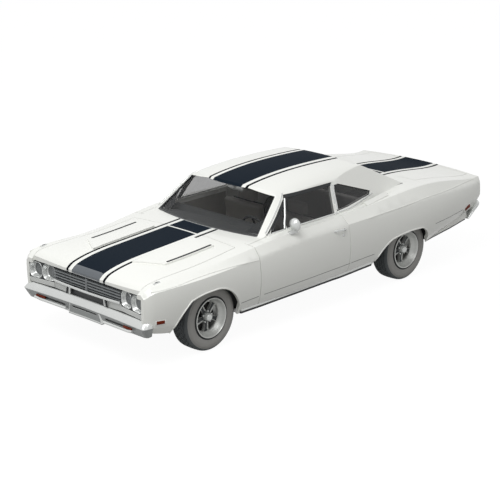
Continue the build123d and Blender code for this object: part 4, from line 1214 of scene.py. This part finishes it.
finished(joined(backing + brackets), "bumper_openings", grilleBlack, replaces="front_bumper", smooth=30)
finished(joined(lips), "bumper_slot_lips", chromePlate)
finished(joined(signals), "bumper_signals", amberLens)
noseLip = across(806, 741, 480, 60)
finished(swept(noseLip, (1, 0, 0.2), bead(9, 6)), "hood_nose_lip", chromePlate, "hood")

# Side markers: a bright bezel round a small moulded lens
markers = {"front": ((650, 487), (748, 489), 46), "rear": ((-4024, 618), (-3908, 590), 50)}
for place, (start, end, width) in markers.items():
    path = flankLine([start, end], 24, 0)
    lensPath = flankLine([(start[0] + 9, start[1]), (end[0] - 9, end[1])], 24, 3)
    finished(
        mirrorY(swept(path, (0, 1, 0), bead(width, 6))), place + "_marker_bezels", whiteEnamel,
    )
    finished(
        mirrorY(swept(lensPath, (0, 1, 0), bead(width - 12, 6))), place + "_marker_lenses", amberLens,
    )
print("front end ready")

# Cabin

# Printed plastic behind clear covers
gaugeFace = grained("gaugeFace", "#101112", "#161718", 3, 0.02, Roughness=0.3, Coat_Weight=0.4)


# A stuffed pad round the origin: length x, width y, thickness z, its face up, crowned, with sewn channels
def padShape(length, width, thick, channels=0, depth=7, along=False, cuts=40, radius=32, crown=16):
    shape = bmesh.new()
    bmesh.ops.create_cube(shape, size=2)
    bmesh.ops.subdivide_edges(shape, edges=shape.edges[:], cuts=cuts, use_grid_fill=True)
    r = min(radius, thick * 0.48)
    inner = Vector((length / 2 - r, width / 2 - r, thick / 2 - r))
    for vert in shape.verts:
        u, w, t = vert.co
        point = Vector((u * length / 2, w * width / 2, t * thick / 2))
        core = Vector([max(-limit, min(limit, c)) for c, limit in zip(point, inner)])
        point = core + (point - core).normalized() * r
        if t > -0.5:
            face = (1 - u ** 4) * (1 - w ** 4)
            point.z += crown * face * (t + 0.5) / 1.5
        point.x *= 1 - 0.022 * (1 - w ** 2)
        point.y *= 1 - 0.022 * (1 - u ** 2)
        if channels and t > 0.9 and abs(u) < 0.86 and abs(w) < 0.78:
            run = (u + 1) / 2 if along else (w / 0.78 + 1) / 2
            valley = 1 - abs(math.sin(math.pi * channels * run)) ** 0.45
            rim = min(1, (0.86 - abs(u)) / 0.05, (0.78 - abs(w)) / 0.05)
            point.z -= depth * valley * rim
        if t > 0.9 and (0.86 <= abs(u) < 0.90 or 0.78 <= abs(w) < 0.83):
            point.z -= depth * 0.7
        vert.co = point * mm
    bmesh.ops.recalc_face_normals(shape, faces=shape.faces)
    return shape


def seated(shape, y, place):  # tipped about y, then set at a place measured from the front axle
    x, z, tilt = place
    return moved(turned(shape, tilt, "Y"), fromAxle(x, y, z))


seatSizes = {  # a place is x, z and tilt; a pad is length, width, thickness, channels and their depth
    "side": 360, "cushion": (-1498, 428, 4), "back": (-1737, 678, -80), "head": (-1772, 962, -84),
    "cushionPad": (500, 530, 105, 9, 8), "backPad": (452, 530, 92, 9, 8), "headPad": (130, 250, 78),
    "benchSide": 295, "benchCushion": (-2385, 440, 5), "benchBack": (-2640, 700, -78),
    "benchCushionPad": (400, 585, 120, 11, 8), "benchBackPad": (430, 585, 85, 11, 8),
    "fill": 0.7, "headFill": 0.85,
}


def pad(name, shape, fill, node):
    piece = finished(shape, name, seatVinyl, replaces=node, smooth=50)
    return piece


for side, y in (("left", seatSizes["side"]), ("right", -seatSizes["side"])):
    cushion = seated(padShape(*seatSizes["cushionPad"]), y, seatSizes["cushion"])
    back = seated(padShape(*seatSizes["backPad"]), y, seatSizes["back"])
    head = seated(padShape(*seatSizes["headPad"], crown=10, cuts=22), y, seatSizes["head"])
    pad("seat_cushion_" + side, cushion, seatSizes["fill"], "front_seats")
    pad("seat_back_" + side, back, seatSizes["fill"], "front_seats")
    pad("head_restraint_" + side, head, seatSizes["headFill"], "front_seats")
    shell = block(
        [(-1782, 470), (-1800, 520), (-1806, 880), (-1790, 892), (-1772, 700), (-1762, 480)], y - 240,
        y + 240, "Y",
    )
    runner = block([(-1690, 322), (-1330, 322), (-1318, 380), (-1700, 378)], y - 215, y + 215, "Y")
    posts = [spun([(0, 0.1), (0, 7), (90, 7), (90, 0.1)], 16) for _ in range(2)]
    for post, shift in zip(posts, (-60, 60)):
        moved(turned(post, 90, "X"), fromAxle(-1768, y + shift, 870))
    finished(
        joined([bevelled(shell, 5), bevelled(runner, 5)]), "seat_shell_" + side, dashVinyl,
        replaces="front_seats",
    )
    finished(joined(posts), "seat_posts_" + side, stainlessTrim)
for side, y in (("right", -seatSizes["benchSide"]), ("left", seatSizes["benchSide"])):
    cushion = seated(padShape(*seatSizes["benchCushionPad"]), y, seatSizes["benchCushion"])
    back = seated(padShape(*seatSizes["benchBackPad"]), y, seatSizes["benchBack"])
    pad("bench_cushion_" + side, cushion, seatSizes["fill"], "rear_seat")
    pad("bench_back_" + side, back, seatSizes["fill"], "rear_seat")
base = block([(-2600, 330), (-2210, 330), (-2200, 400), (-2600, 400)], -560, 560, "Y")
finished(bevelled(base, 8), "bench_base", dashVinyl, replaces="rear_seat")
print("seats ready")

# Dashboard: a padded top, a black bright-edged cluster with round gauges, radio and glove lid
dressed("dashboard", dashVinyl, 30)
dashSizes = {
    "faceX": -942, "clusterY": (130, 610), "clusterZ": (740, 842), "gauges": (200, 300, 440, 545),
    "gaugeZ": 792,
}
d = dashSizes
panel = block(rect(*d["clusterY"], *d["clusterZ"]), d["faceX"] - 12, d["faceX"] + 30)
finished(bevelled(panel, 5), "gauge_panel", gaugeFace)
gaugeRims, gaugeMarks, needles = [], [], []
for i, y in enumerate(d["gauges"]):
    r = 45 if i in (1, 2) else 32
    rim = spun([(0, r), (8, r), (10, r - 3), (8, r - 6), (0, r - 6)], 40, closed=True)
    gaugeRims.append(moved(turned(rim, 90, "Z"), fromAxle(d["faceX"] - 12, y, d["gaugeZ"])))
    for k in range(13):
        mark = turned(slab(rect(-1, 1, r - 14, r - 9), -14.5, -12.5, "X"), -130 + 260 * k / 12, "X")
        gaugeMarks.append(moved(mark, fromAxle(d["faceX"], y, d["gaugeZ"])))
    needle = slab([(-1.4, -6), (1.4, -6), (0.6, r - 13), (-0.6, r - 13)], -17, -15, "X")
    needles.append(moved(turned(needle, 120, "X"), fromAxle(d["faceX"], y, d["gaugeZ"])))
for y in (-30, 30):
    knob = spun([(0, 0.1), (0, 11), (14, 10), (16, 8), (16, 0.1)], 24)
    gaugeRims.append(moved(turned(knob, 90, "Z"), fromAxle(d["faceX"] - 2, y * 2.2, 780)))
gaugeRims.append(bevelled(block(rect(-55, 55, 762, 800), d["faceX"] - 8, d["faceX"] + 20), 2))
glove = swept(
    [fromAxle(d["faceX"] - 1, y, z) for y, z in ((-180, 745), (-560, 745), (-560, 835), (-180, 835))],
    (-1, 0, 0), bead(6, 4), closed=True,
)
gaugeRims.append(glove)
finished(joined(gaugeRims), "dash_brightwork", chromePlate)
finished(joined(gaugeMarks + needles), "gauge_marks", argentPaint)

# Pad that runs forward from the dash to the foot of the screen, lying on the cowl
padSizes = {"half": 700, "front": -668, "bow": 118, "rear": -1088, "dip": -930, "z": 900, "rise": 34, "roll": 46}
dashPad = bmesh.new()
bmesh.ops.create_grid(dashPad, x_segments=28, y_segments=40, size=1)
for vert in dashPad.verts:
    y = vert.co.y * padSizes["half"]
    front = padSizes["front"] - (abs(y) / padSizes["half"]) ** 2 * padSizes["bow"]
    x = front + (vert.co.x - 1) / 2 * (front - padSizes["rear"])
    spot = onTopOf(cowlTop, x, y)
    rear = min(1, max(0, (padSizes["dip"] - x) / (padSizes["dip"] - padSizes["rear"])))
    ahead = padSizes["z"] + (x - padSizes["dip"]) / 300 * padSizes["rise"]
    behind = padSizes["z"] + padSizes["roll"] * rear * (2 - rear) - 60 * max(0, rear - 0.82) ** 2 / 0.03
    z = max(spot if x > padSizes["dip"] - 5 else 0, ahead if x > padSizes["dip"] else behind)
    vert.co = fromAxle(x, y, z + 4)
bmesh.ops.solidify(dashPad, geom=dashPad.faces[:], thickness=-3 * mm)
bmesh.ops.recalc_face_normals(dashPad, faces=dashPad.faces)
finished(dashPad, "dash_top_pad", dashVinyl, smooth=40)

# Steering wheel in moulded rubber
dressed("steering_wheel", blackRubber, 30)

# Door cards, each with an armrest and a window crank
cardSizes = {"x": -1262, "z": 640, "halfLength": 590, "halfHeight": 255, "proud": 4}
carpetSizes = {"x": -1560, "halfLength": 900, "halfWidth": 640, "low": 322, "pile": 5}
for side in ("left", "right"):
    card = bmesh.new()
    bmesh.ops.create_grid(card, x_segments=24, y_segments=12, size=1)
    for vert in card.verts:
        x = cardSizes["x"] + vert.co.x * cardSizes["halfLength"]
        z = cardSizes["z"] + vert.co.y * cardSizes["halfHeight"]
        vert.co = inPoint(x, z, cardSizes["proud"])
    onSideOf(card, side)
    bmesh.ops.recalc_face_normals(card, faces=card.faces)
    finished(card, "door_card_" + side, seatVinyl, "door_" + side, smooth=40)
    rest = [inPoint(x, cardSizes["z"], 22) for x in (-1180, -1280, -1400, -1500)]
    pull = swept(rest, (0, -1, 0), [(-16, -20), (16, -20), (18, 10), (12, 22), (-12, 22), (-18, 10)])
    crankPoint = inPoint(-1080, 610, 6)
    crank = moved(
        turned(spun([(0, 0.1), (0, 18), (8, 16), (12, 9), (26, 8), (30, 0.1)], 24), 180, "Z"), crankPoint,
    )
    arm = swept(
        [
            crankPoint + Vector((0, -0.026, 0)), crankPoint + Vector((0.05, -0.03, 0.03)),
            crankPoint + Vector((0.085, -0.03, 0.05)),
        ],
        (0, -1, 0), bead(12, 6),
    )
    finished(onSideOf(pull, side), "armrest_" + side, dashVinyl, "door_" + side)
    winder = onSideOf(joined([crank, arm]), side)
    finished(winder, "window_crank_" + side, chromePlate, "door_" + side)

# Carpet over the floor, then the mirror inside the screen and the shift lever
carpet = bmesh.new()
bmesh.ops.create_grid(carpet, x_segments=60, y_segments=40, size=1)
for vert in carpet.verts:
    x = carpetSizes["x"] + vert.co.x * carpetSizes["halfLength"]
    y = vert.co.y * carpetSizes["halfWidth"]
    vert.co = fromAxle(x, y, max(onTopOf(floorTop, x, y), carpetSizes["low"]) + carpetSizes["pile"])
bmesh.ops.recalc_face_normals(carpet, faces=carpet.faces)
finished(carpet, "carpet", loopCarpet, smooth=40)

backMirror = slab(
    [(-105, -26), (105, -26), (112, -10), (112, 14), (100, 26), (-100, 26), (-112, 14), (-112, -10)], -10, 4,
    "X",
)
stem = swept(
    [Vector((0.004, 0, 0)), Vector((0.03, 0, 0.03)), Vector((0.05, 0, 0.062))], (0, 1, 0), rect(-6, 6, -4, 4),
)
finished(
    moved(joined([bevelled(backMirror, 4), stem]), fromAxle(-1216, 0, 1212)), "inner_mirror", chromePlate,
)
lever = swept(
    axleLine([(-1130, 0, 520), (-1138, 0, 600), (-1160, 0, 690), (-1168, 0, 730)]), (1, 0, 0), bead(12, 7),
)
knobBall = moved(
    spun([(-22, 0.1), (-18, 14), (-8, 21), (4, 22), (14, 17), (20, 8), (22, 0.1)], 28),
    fromAxle(-1170, 0, 746),
)
finished(joined([lever, knobBall]), "shift_lever", chromePlate)
print("cabin ready")

# Rear end

redLens = grained("redLens", "#8E1712", "#6F0F0C", 3, 0.5, Roughness=0.18, Coat_Weight=0.6)
plateEnamel = grained("plateEnamel", "#E9E9E4", "#DEDED8", 8, 0.05, Roughness=0.4)

# Rear blade: a thin pressed panel that leans back to a rolled top edge and turns round the quarters
rearSections = {
    0: [
        (-4036, 457), (-4140, 526), (-4238, 594), (-4256, 612), (-4254, 630), (-4240, 639), (-4206, 640),
        (-4200, 606), (-4022, 476),
    ],
    600: [
        (-4028, 457), (-4132, 526), (-4228, 594), (-4246, 612), (-4244, 630), (-4230, 639), (-4198, 640),
        (-4192, 606), (-4014, 476),
    ],
    840: [
        (-4014, 457), (-4117, 526), (-4213, 594), (-4231, 612), (-4229, 630), (-4216, 639), (-4186, 640),
        (-4170, 606), (-4000, 474),
    ],
    884: [
        (-4004, 459), (-4103, 526), (-4196, 592), (-4210, 606), (-4208, 624), (-4194, 634), (-4160, 636),
        (-4120, 596), (-3986, 472),
    ],
    906: [
        (-3996, 464), (-4090, 529), (-4180, 588), (-4192, 602), (-4190, 616), (-4176, 626), (-4142, 630),
        (-4092, 588), (-3976, 472),
    ],
    920: [
        (-3990, 470), (-4080, 533), (-4160, 586), (-4168, 598), (-4166, 610), (-4156, 618), (-4132, 622),
        (-4096, 590), (-3982, 474),
    ],
}
rearBlade = mirroredHalf(lofted([[(x, y, z) for x, z in rearSections[y]] for y in sorted(rearSections)]))
rearPiece = finished(
    bevelled(rearBlade, 2, 2, 30), "rear_bumper_blade", chromePlate, replaces="rear_bumper", smooth=24,
)
# Faces that point down get the darker plate: painted shade and a painted reflection
addMaterial(rearPiece, chromeShade, lambda p: p.normal.z < -0.3)
mounts = []
for y in (-420, 420):
    mounts.append(block(rect(y - 22, y + 22, 500, 560), -4150, -4010))
    bolt = spun([(0, 0.1), (0, 13), (5, 12), (9, 7), (10, 0.1)], 24)
    mounts.append(moved(turned(bolt, 90, "Z"), fromAxle(-4206, y, 574)))
finished(joined(mounts), "rear_bumper_mounts", chromePlate)

# Tail lamps: ribbed red lenses in bright bezels
tail = {"y": (330, 720), "z": (700, 810), "x": -4236}
frames, glasses = [], []
for side in (1, -1):
    inner, outer = side * tail["y"][0], side * tail["y"][1]
    low, high = tail["z"]
    corners = [
        fromAxle(tail["x"], y, z)
        for y, z in ((inner, low + 6), (outer, low + 6), (outer, high - 6), (inner, high - 6))
    ]
    frames.append(swept(corners, (-1, 0, 0), bead(16, 13), closed=True))
    count = 7
    for i in range(count):
        z = low + 18 + (high - low - 36) * (i + 0.5) / count
        rib = [
            fromAxle(tail["x"] + 2, y, z) for y in (inner + side * 10, (inner + outer) / 2, outer - side * 10)
        ]
        glasses.append(swept(rib, (-1, 0, 0), bead((high - low - 36) / count + 0.5, 6)))
    frames.append(
        swept(
            [fromAxle(tail["x"] - 2, (inner + outer) / 2, z) for z in (low + 8, high - 8)], (-1, 0, 0),
            bead(10, 8),
        ),
    )
finished(joined(glasses), "tail_lamp_lenses", redLens, replaces="tail_lamps")
finished(joined(frames), "tail_lamp_bezels", chromePlate, replaces="tail_lamps")

# Blank number plate on its two bolts, and the deck lid's lock
plate = block(
    [(-150, 725), (150, 725), (155, 730), (155, 870), (150, 875), (-150, 875), (-155, 870), (-155, 730)],
    -4245, -4242,
)
finished(bevelled(plate, 1), "number_plate", plateEnamel)
plateBits = [
    swept(
        [fromAxle(-4244, y, z) for y, z in ((-150, 730), (150, 730), (150, 870), (-150, 870))], (-1, 0, 0),
        bead(6, 4), closed=True,
    ),
]
for y in (-88.9, 88.9):
    plateBits.append(axial([(0, 0.1), (0, 8), (4, 7), (6, 4), (6, 0.1)], 20, 90, -4244, y, 800))
plateBits.append(
    axial([(0, 0.1), (0, 17), (5, 17), (8, 14), (8, 8), (5, 6), (5, 0.1)], 32, 90, -4236, 0, 893),
)
finished(joined(plateBits), "plate_fixings", chromePlate)

# Bright tips over the tailpipes
tipSizes = {"x": -4186, "y": 470, "z": 380, "length": 120}
tips = []
for y in (-tipSizes["y"], tipSizes["y"]):
    tip = spun([(0, 25), (0, 30), (3, 33), (tipSizes["length"], 33), (tipSizes["length"], 30), (6, 30)], 40, closed=True)
    tips.append(moved(turned(tip, -90, "Z"), fromAxle(tipSizes["x"], y, tipSizes["z"])))
finished(joined(tips), "exhaust_tips", chromePlate)
print("rear end ready")

# Under the hood

valveCover = grained("valveCover", "#B9BBB9", "#A6A8A7", 20, 0.05, Metallic=0.7, Roughness=0.3)
batteryCase = grained("batteryCase", "#1B1C1E", "#141517", 10, 0.1, Roughness=0.5)
bottlePlastic = grained("bottlePlastic", "#D6D8D2", "#C9CBC5", 6, 0.03, Roughness=0.45)


def roundBar(radius, steps=16):  # a swept bar's circular section, in mm
    return [
        (radius * math.cos(2 * math.pi * i / steps), radius * math.sin(2 * math.pi * i / steps))
        for i in range(steps)
    ]


def upright(profile, x, y, z, steps=48):  # a shape spun about a vertical axis: heights up, radii out
    return moved(turned(spun(profile, steps), 90, "X"), fromAxle(x, y, z))


motor = {"rear": -400, "front": 250, "sump": 330, "cleaner": 180}
castings, covers, darks = [], [], []
crank = [
    (-110, motor["sump"]), (110, motor["sump"]), (135, 420), (135, 500), (262, 610), (196, 684), (70, 590),
    (-70, 590), (-196, 684), (-262, 610), (-135, 500), (-135, 420),
]
castings.append(bevelled(block(crank, motor["rear"], motor["front"]), 6))
castings.append(
    bevelled(
        block([(-66, 580), (66, 580), (80, 650), (-80, 650)], motor["rear"] + 40, motor["front"] - 40), 8,
    ),
)
castings.append(bevelled(block(rect(-440, 440, 334, 376), -60, 60), 6))
for side in (1, -1):
    cover = [
        (side * 150, 668), (side * 236, 590), (side * 286, 640), (side * 276, 668), (side * 204, 736),
        (side * 176, 736),
    ]
    covers.append(bevelled(block(cover, motor["rear"] + 50, motor["front"] - 30), 9, 3))
    for x in (-300, -160, -20, 120):  # header tubes down to the collector
        tube = axleLine(
            [
                (x, side * 244, 560), (x - 6, side * 282, 540), (x - 20, side * 286, 480),
                (x - 60, side * 262, 420), (x - 110, side * 250, 392),
            ],
        )
        castings.append(swept(tube, (1, 0, 0), roundBar(19)))
castings.append(upright([(0, 0.1), (0, 70), (60, 70), (66, 40), (66, 0.1)], -90, 0, 650, 32))
covers.append(
    upright(
        [
            (0, 40), (0, motor["cleaner"] - 6), (8, motor["cleaner"]), (14, motor["cleaner"]),
            (22, motor["cleaner"] - 8), (26, 60), (34, 22), (40, 8), (40, 0.1),
        ],
        -90, 0, 748, 72,
    ),
)
darks.append(
    upright([(0, 30), (0, motor["cleaner"] - 16), (34, motor["cleaner"] - 16), (34, 30)], -90, 0, 716, 72),
)
darks.append(upright([(0, 0.1), (0, 34), (50, 34), (60, 20), (60, 0.1)], -350, 60, 650, 24))
for y, z, r in ((0, 440, 70), (0, 590, 60), (170, 560, 42)):  # belt pulleys
    darks.append(
        axial(
            [
                (0, 0.1), (0, r), (10, r), (14, r - 8), (18, r), (28, r), (30, r - 14), (22, 12), (34, 10),
                (34, 0.1),
            ],
            40, -90, motor["front"], y, z,
        ),
    )
for i in range(6):
    blade = slab([(18, -34), (182, -44), (190, 20), (18, 30)], 0, 5, "Z")
    turned(blade, 24, "X")
    turned(blade, 90, "Y")
    turned(blade, 60 * i, "X")
    darks.append(moved(blade, fromAxle(motor["front"] + 56, 0, 590)))
darks.append(axial([(0, 0.1), (0, 34), (26, 34), (30, 26), (30, 0.1)], 32, -90, motor["front"] + 38, 0, 590))
leads = []
for side in (1, -1):
    for x in (-300, -160, -20, 120):
        leads.append(
            swept(
                axleLine([(-350, 60, 706), ((x - 350) / 2, side * 110, 722), (x, side * 232, 660)]),
                (0, 0, 1), roundBar(4, 8),
            ),
        )
finished(joined(castings), "engine_block", engineIron, replaces="engine")
finished(joined(covers), "engine_covers", valveCover, replaces="engine")
finished(joined(darks + leads), "engine_pulleys_and_leads", blackRubber, replaces="engine")

bay = {"radiatorX": (560, 606), "battery": (430, 500, 480)}
core = [block(rect(-300, 300, 420, 672), 566, 598)]
for z in (404, 688):
    core.append(bevelled(block(rect(-306, 306, z - 18, z + 18), *bay["radiatorX"]), 6))
for y in range(-290, 291, 20):
    core.append(block(rect(y - 2, y + 2, 422, 670), 558, 566))
core.append(upright([(0, 0.1), (0, 30), (10, 30), (14, 24), (14, 0.1)], 582, 120, 704, 28))
finished(joined(core), "radiator", batteryCase)
hoses = [
    swept(
        axleLine([(560, 180, 684), (500, 180, 690), (400, 120, 680), (300, 40, 660), (220, 20, 640)]),
        (0, 0, 1), roundBar(20),
    ),
    swept(
        axleLine([(560, -200, 410), (480, -200, 400), (380, -140, 430), (290, -60, 470)]), (0, 0, 1),
        roundBar(22),
    ),
]
finished(joined(hoses), "coolant_hoses", blackRubber)
bx, by, bz = bay["battery"]
case = bevelled(block(rect(bx, bx + 150, by, by + 110), bz, bz + 170, "Z"), 5)
postLine = [(0, 0.1), (0, 9), (16, 8), (16, 0.1)]
posts = [upright(postLine, bx + shift, by + 35, bz + 170, 20) for shift in (30, 120)]
finished(case, "battery", batteryCase)
finished(joined(posts), "battery_posts", chromePlate)
bottle = bevelled(block(rect(bx, bx + 120, -by - 100, -by), bz, bz + 160, "Z"), 14, 3)
cap = upright([(0, 0.1), (0, 24), (14, 24), (18, 20), (18, 0.1)], bx + 60, -by - 50, bz + 160, 28)
finished(bottle, "washer_bottle", bottlePlastic)
finished(cap, "washer_cap", blackRubber)
booster = axial(
    [(0, 0.1), (0, 96), (16, 104), (30, 104), (56, 84), (66, 30), (120, 26), (124, 18), (124, 0.1)], 48, -90,
    -560, 420, 700,
)
finished(booster, "brake_booster", batteryCase)
print("engine bay ready")

# Floor, light and camera
# The floor shows white to the eye, to gloss and through glass, and keeps the car's shadow
studio = {"floorColour": "#868684", "skyStrength": 0.5, "floorGlow": 0.95, "keyPower": 540, "keySize": 6.0}
floorMaterial = bpy.data.materials.new("paleFloor")
floorMaterial.use_nodes = True
floorTree = floorMaterial.node_tree
floorTree.nodes.clear()
floorBack = addNode(floorTree, "ShaderNodeBsdfDiffuse", {"Color": linear(studio["floorColour"])})
floorSeen = addNode(floorTree, "ShaderNodeBsdfDiffuse", {"Color": (0.1, 0.1, 0.1, 1)})
floorGlow = addNode(floorTree, "ShaderNodeEmission", {"Strength": studio["floorGlow"]})
floorLit = addNode(floorTree, "ShaderNodeAddShader", links={0: floorSeen.outputs[0], 1: floorGlow.outputs[0]})


def seenRays(tree):  # camera, gloss and transmission rays
    rays = addNode(tree, "ShaderNodeLightPath")
    first = addNode(
        tree, "ShaderNodeMath", {"operation": "MAXIMUM"},
        {0: rays.outputs["Is Camera Ray"], 1: rays.outputs["Is Glossy Ray"]},
    )
    return addNode(
        tree, "ShaderNodeMath", {"operation": "MAXIMUM"},
        {0: first.outputs[0], 1: rays.outputs["Is Transmission Ray"]},
    ).outputs[0]


floorMix = addNode(
    floorTree, "ShaderNodeMixShader",
    links={0: seenRays(floorTree), 1: floorBack.outputs[0], 2: floorLit.outputs[0]},
)
addNode(floorTree, "ShaderNodeOutputMaterial", links={"Surface": floorMix.outputs[0]})
floorShape = bmesh.new()
bmesh.ops.create_grid(floorShape, x_segments=1, y_segments=1, size=60)
floorMesh = bpy.data.meshes.new("studioFloor")
floorShape.to_mesh(floorMesh)
floorShape.free()
floorMesh.materials.append(floorMaterial)
studioFloor = bpy.data.objects.new("studioFloor", floorMesh)
bpy.context.collection.objects.link(studioFloor)

world = bpy.data.worlds.new("paleWorld")
world.use_nodes = True
worldTree = world.node_tree
worldTree.nodes.clear()
sky = addNode(worldTree, "ShaderNodeBackground", {"Strength": studio["skyStrength"]})
backdrop = addNode(worldTree, "ShaderNodeBackground", {"Color": (1, 1, 1, 1), "Strength": 1.0})
sky.inputs["Color"].default_value = (1, 1, 1, 1)
worldMix = addNode(
    worldTree, "ShaderNodeMixShader",
    links={0: seenRays(worldTree), 1: sky.outputs[0], 2: backdrop.outputs[0]},
)
addNode(worldTree, "ShaderNodeOutputWorld", links={"Surface": worldMix.outputs[0]})
bpy.context.scene.world = world


def addLamp(name, power, size, place, target):
    lamp = bpy.data.lights.new(name, "AREA")
    lamp.energy = power
    lamp.size = size
    lampObject = bpy.data.objects.new(name, lamp)
    lampObject.location = place
    lampObject.rotation_euler = (Vector(target) - Vector(place)).to_track_quat("-Z", "Y").to_euler()
    bpy.context.collection.objects.link(lampObject)


addLamp("keyLight", studio["keyPower"], studio["keySize"], (5.5, 2.2, 8.5), (0, 0, 0))
print("lights ready")

# Camera: 118.5 mm lens on a 36 mm frame, 17.4 m away, from the left front and above
view = {
    "place": (12017, 11431, 5783), "target": (131.5, -81, 448), "lens": 118.5, "shift": (-0.0054, -0.0008),
}
camera = bpy.data.objects.new("camera", bpy.data.cameras.new("camera"))
camera.data.lens = view["lens"]
camera.data.shift_x, camera.data.shift_y = view["shift"]
camera.location = Vector(view["place"]) * mm
aim = (Vector(view["target"]) - Vector(view["place"])) * mm
camera.rotation_euler = aim.to_track_quat("-Z", "Y").to_euler()
bpy.context.collection.objects.link(camera)
bpy.context.scene.camera = camera
bpy.context.scene.view_settings.view_transform = "Standard"
print("stage ready")
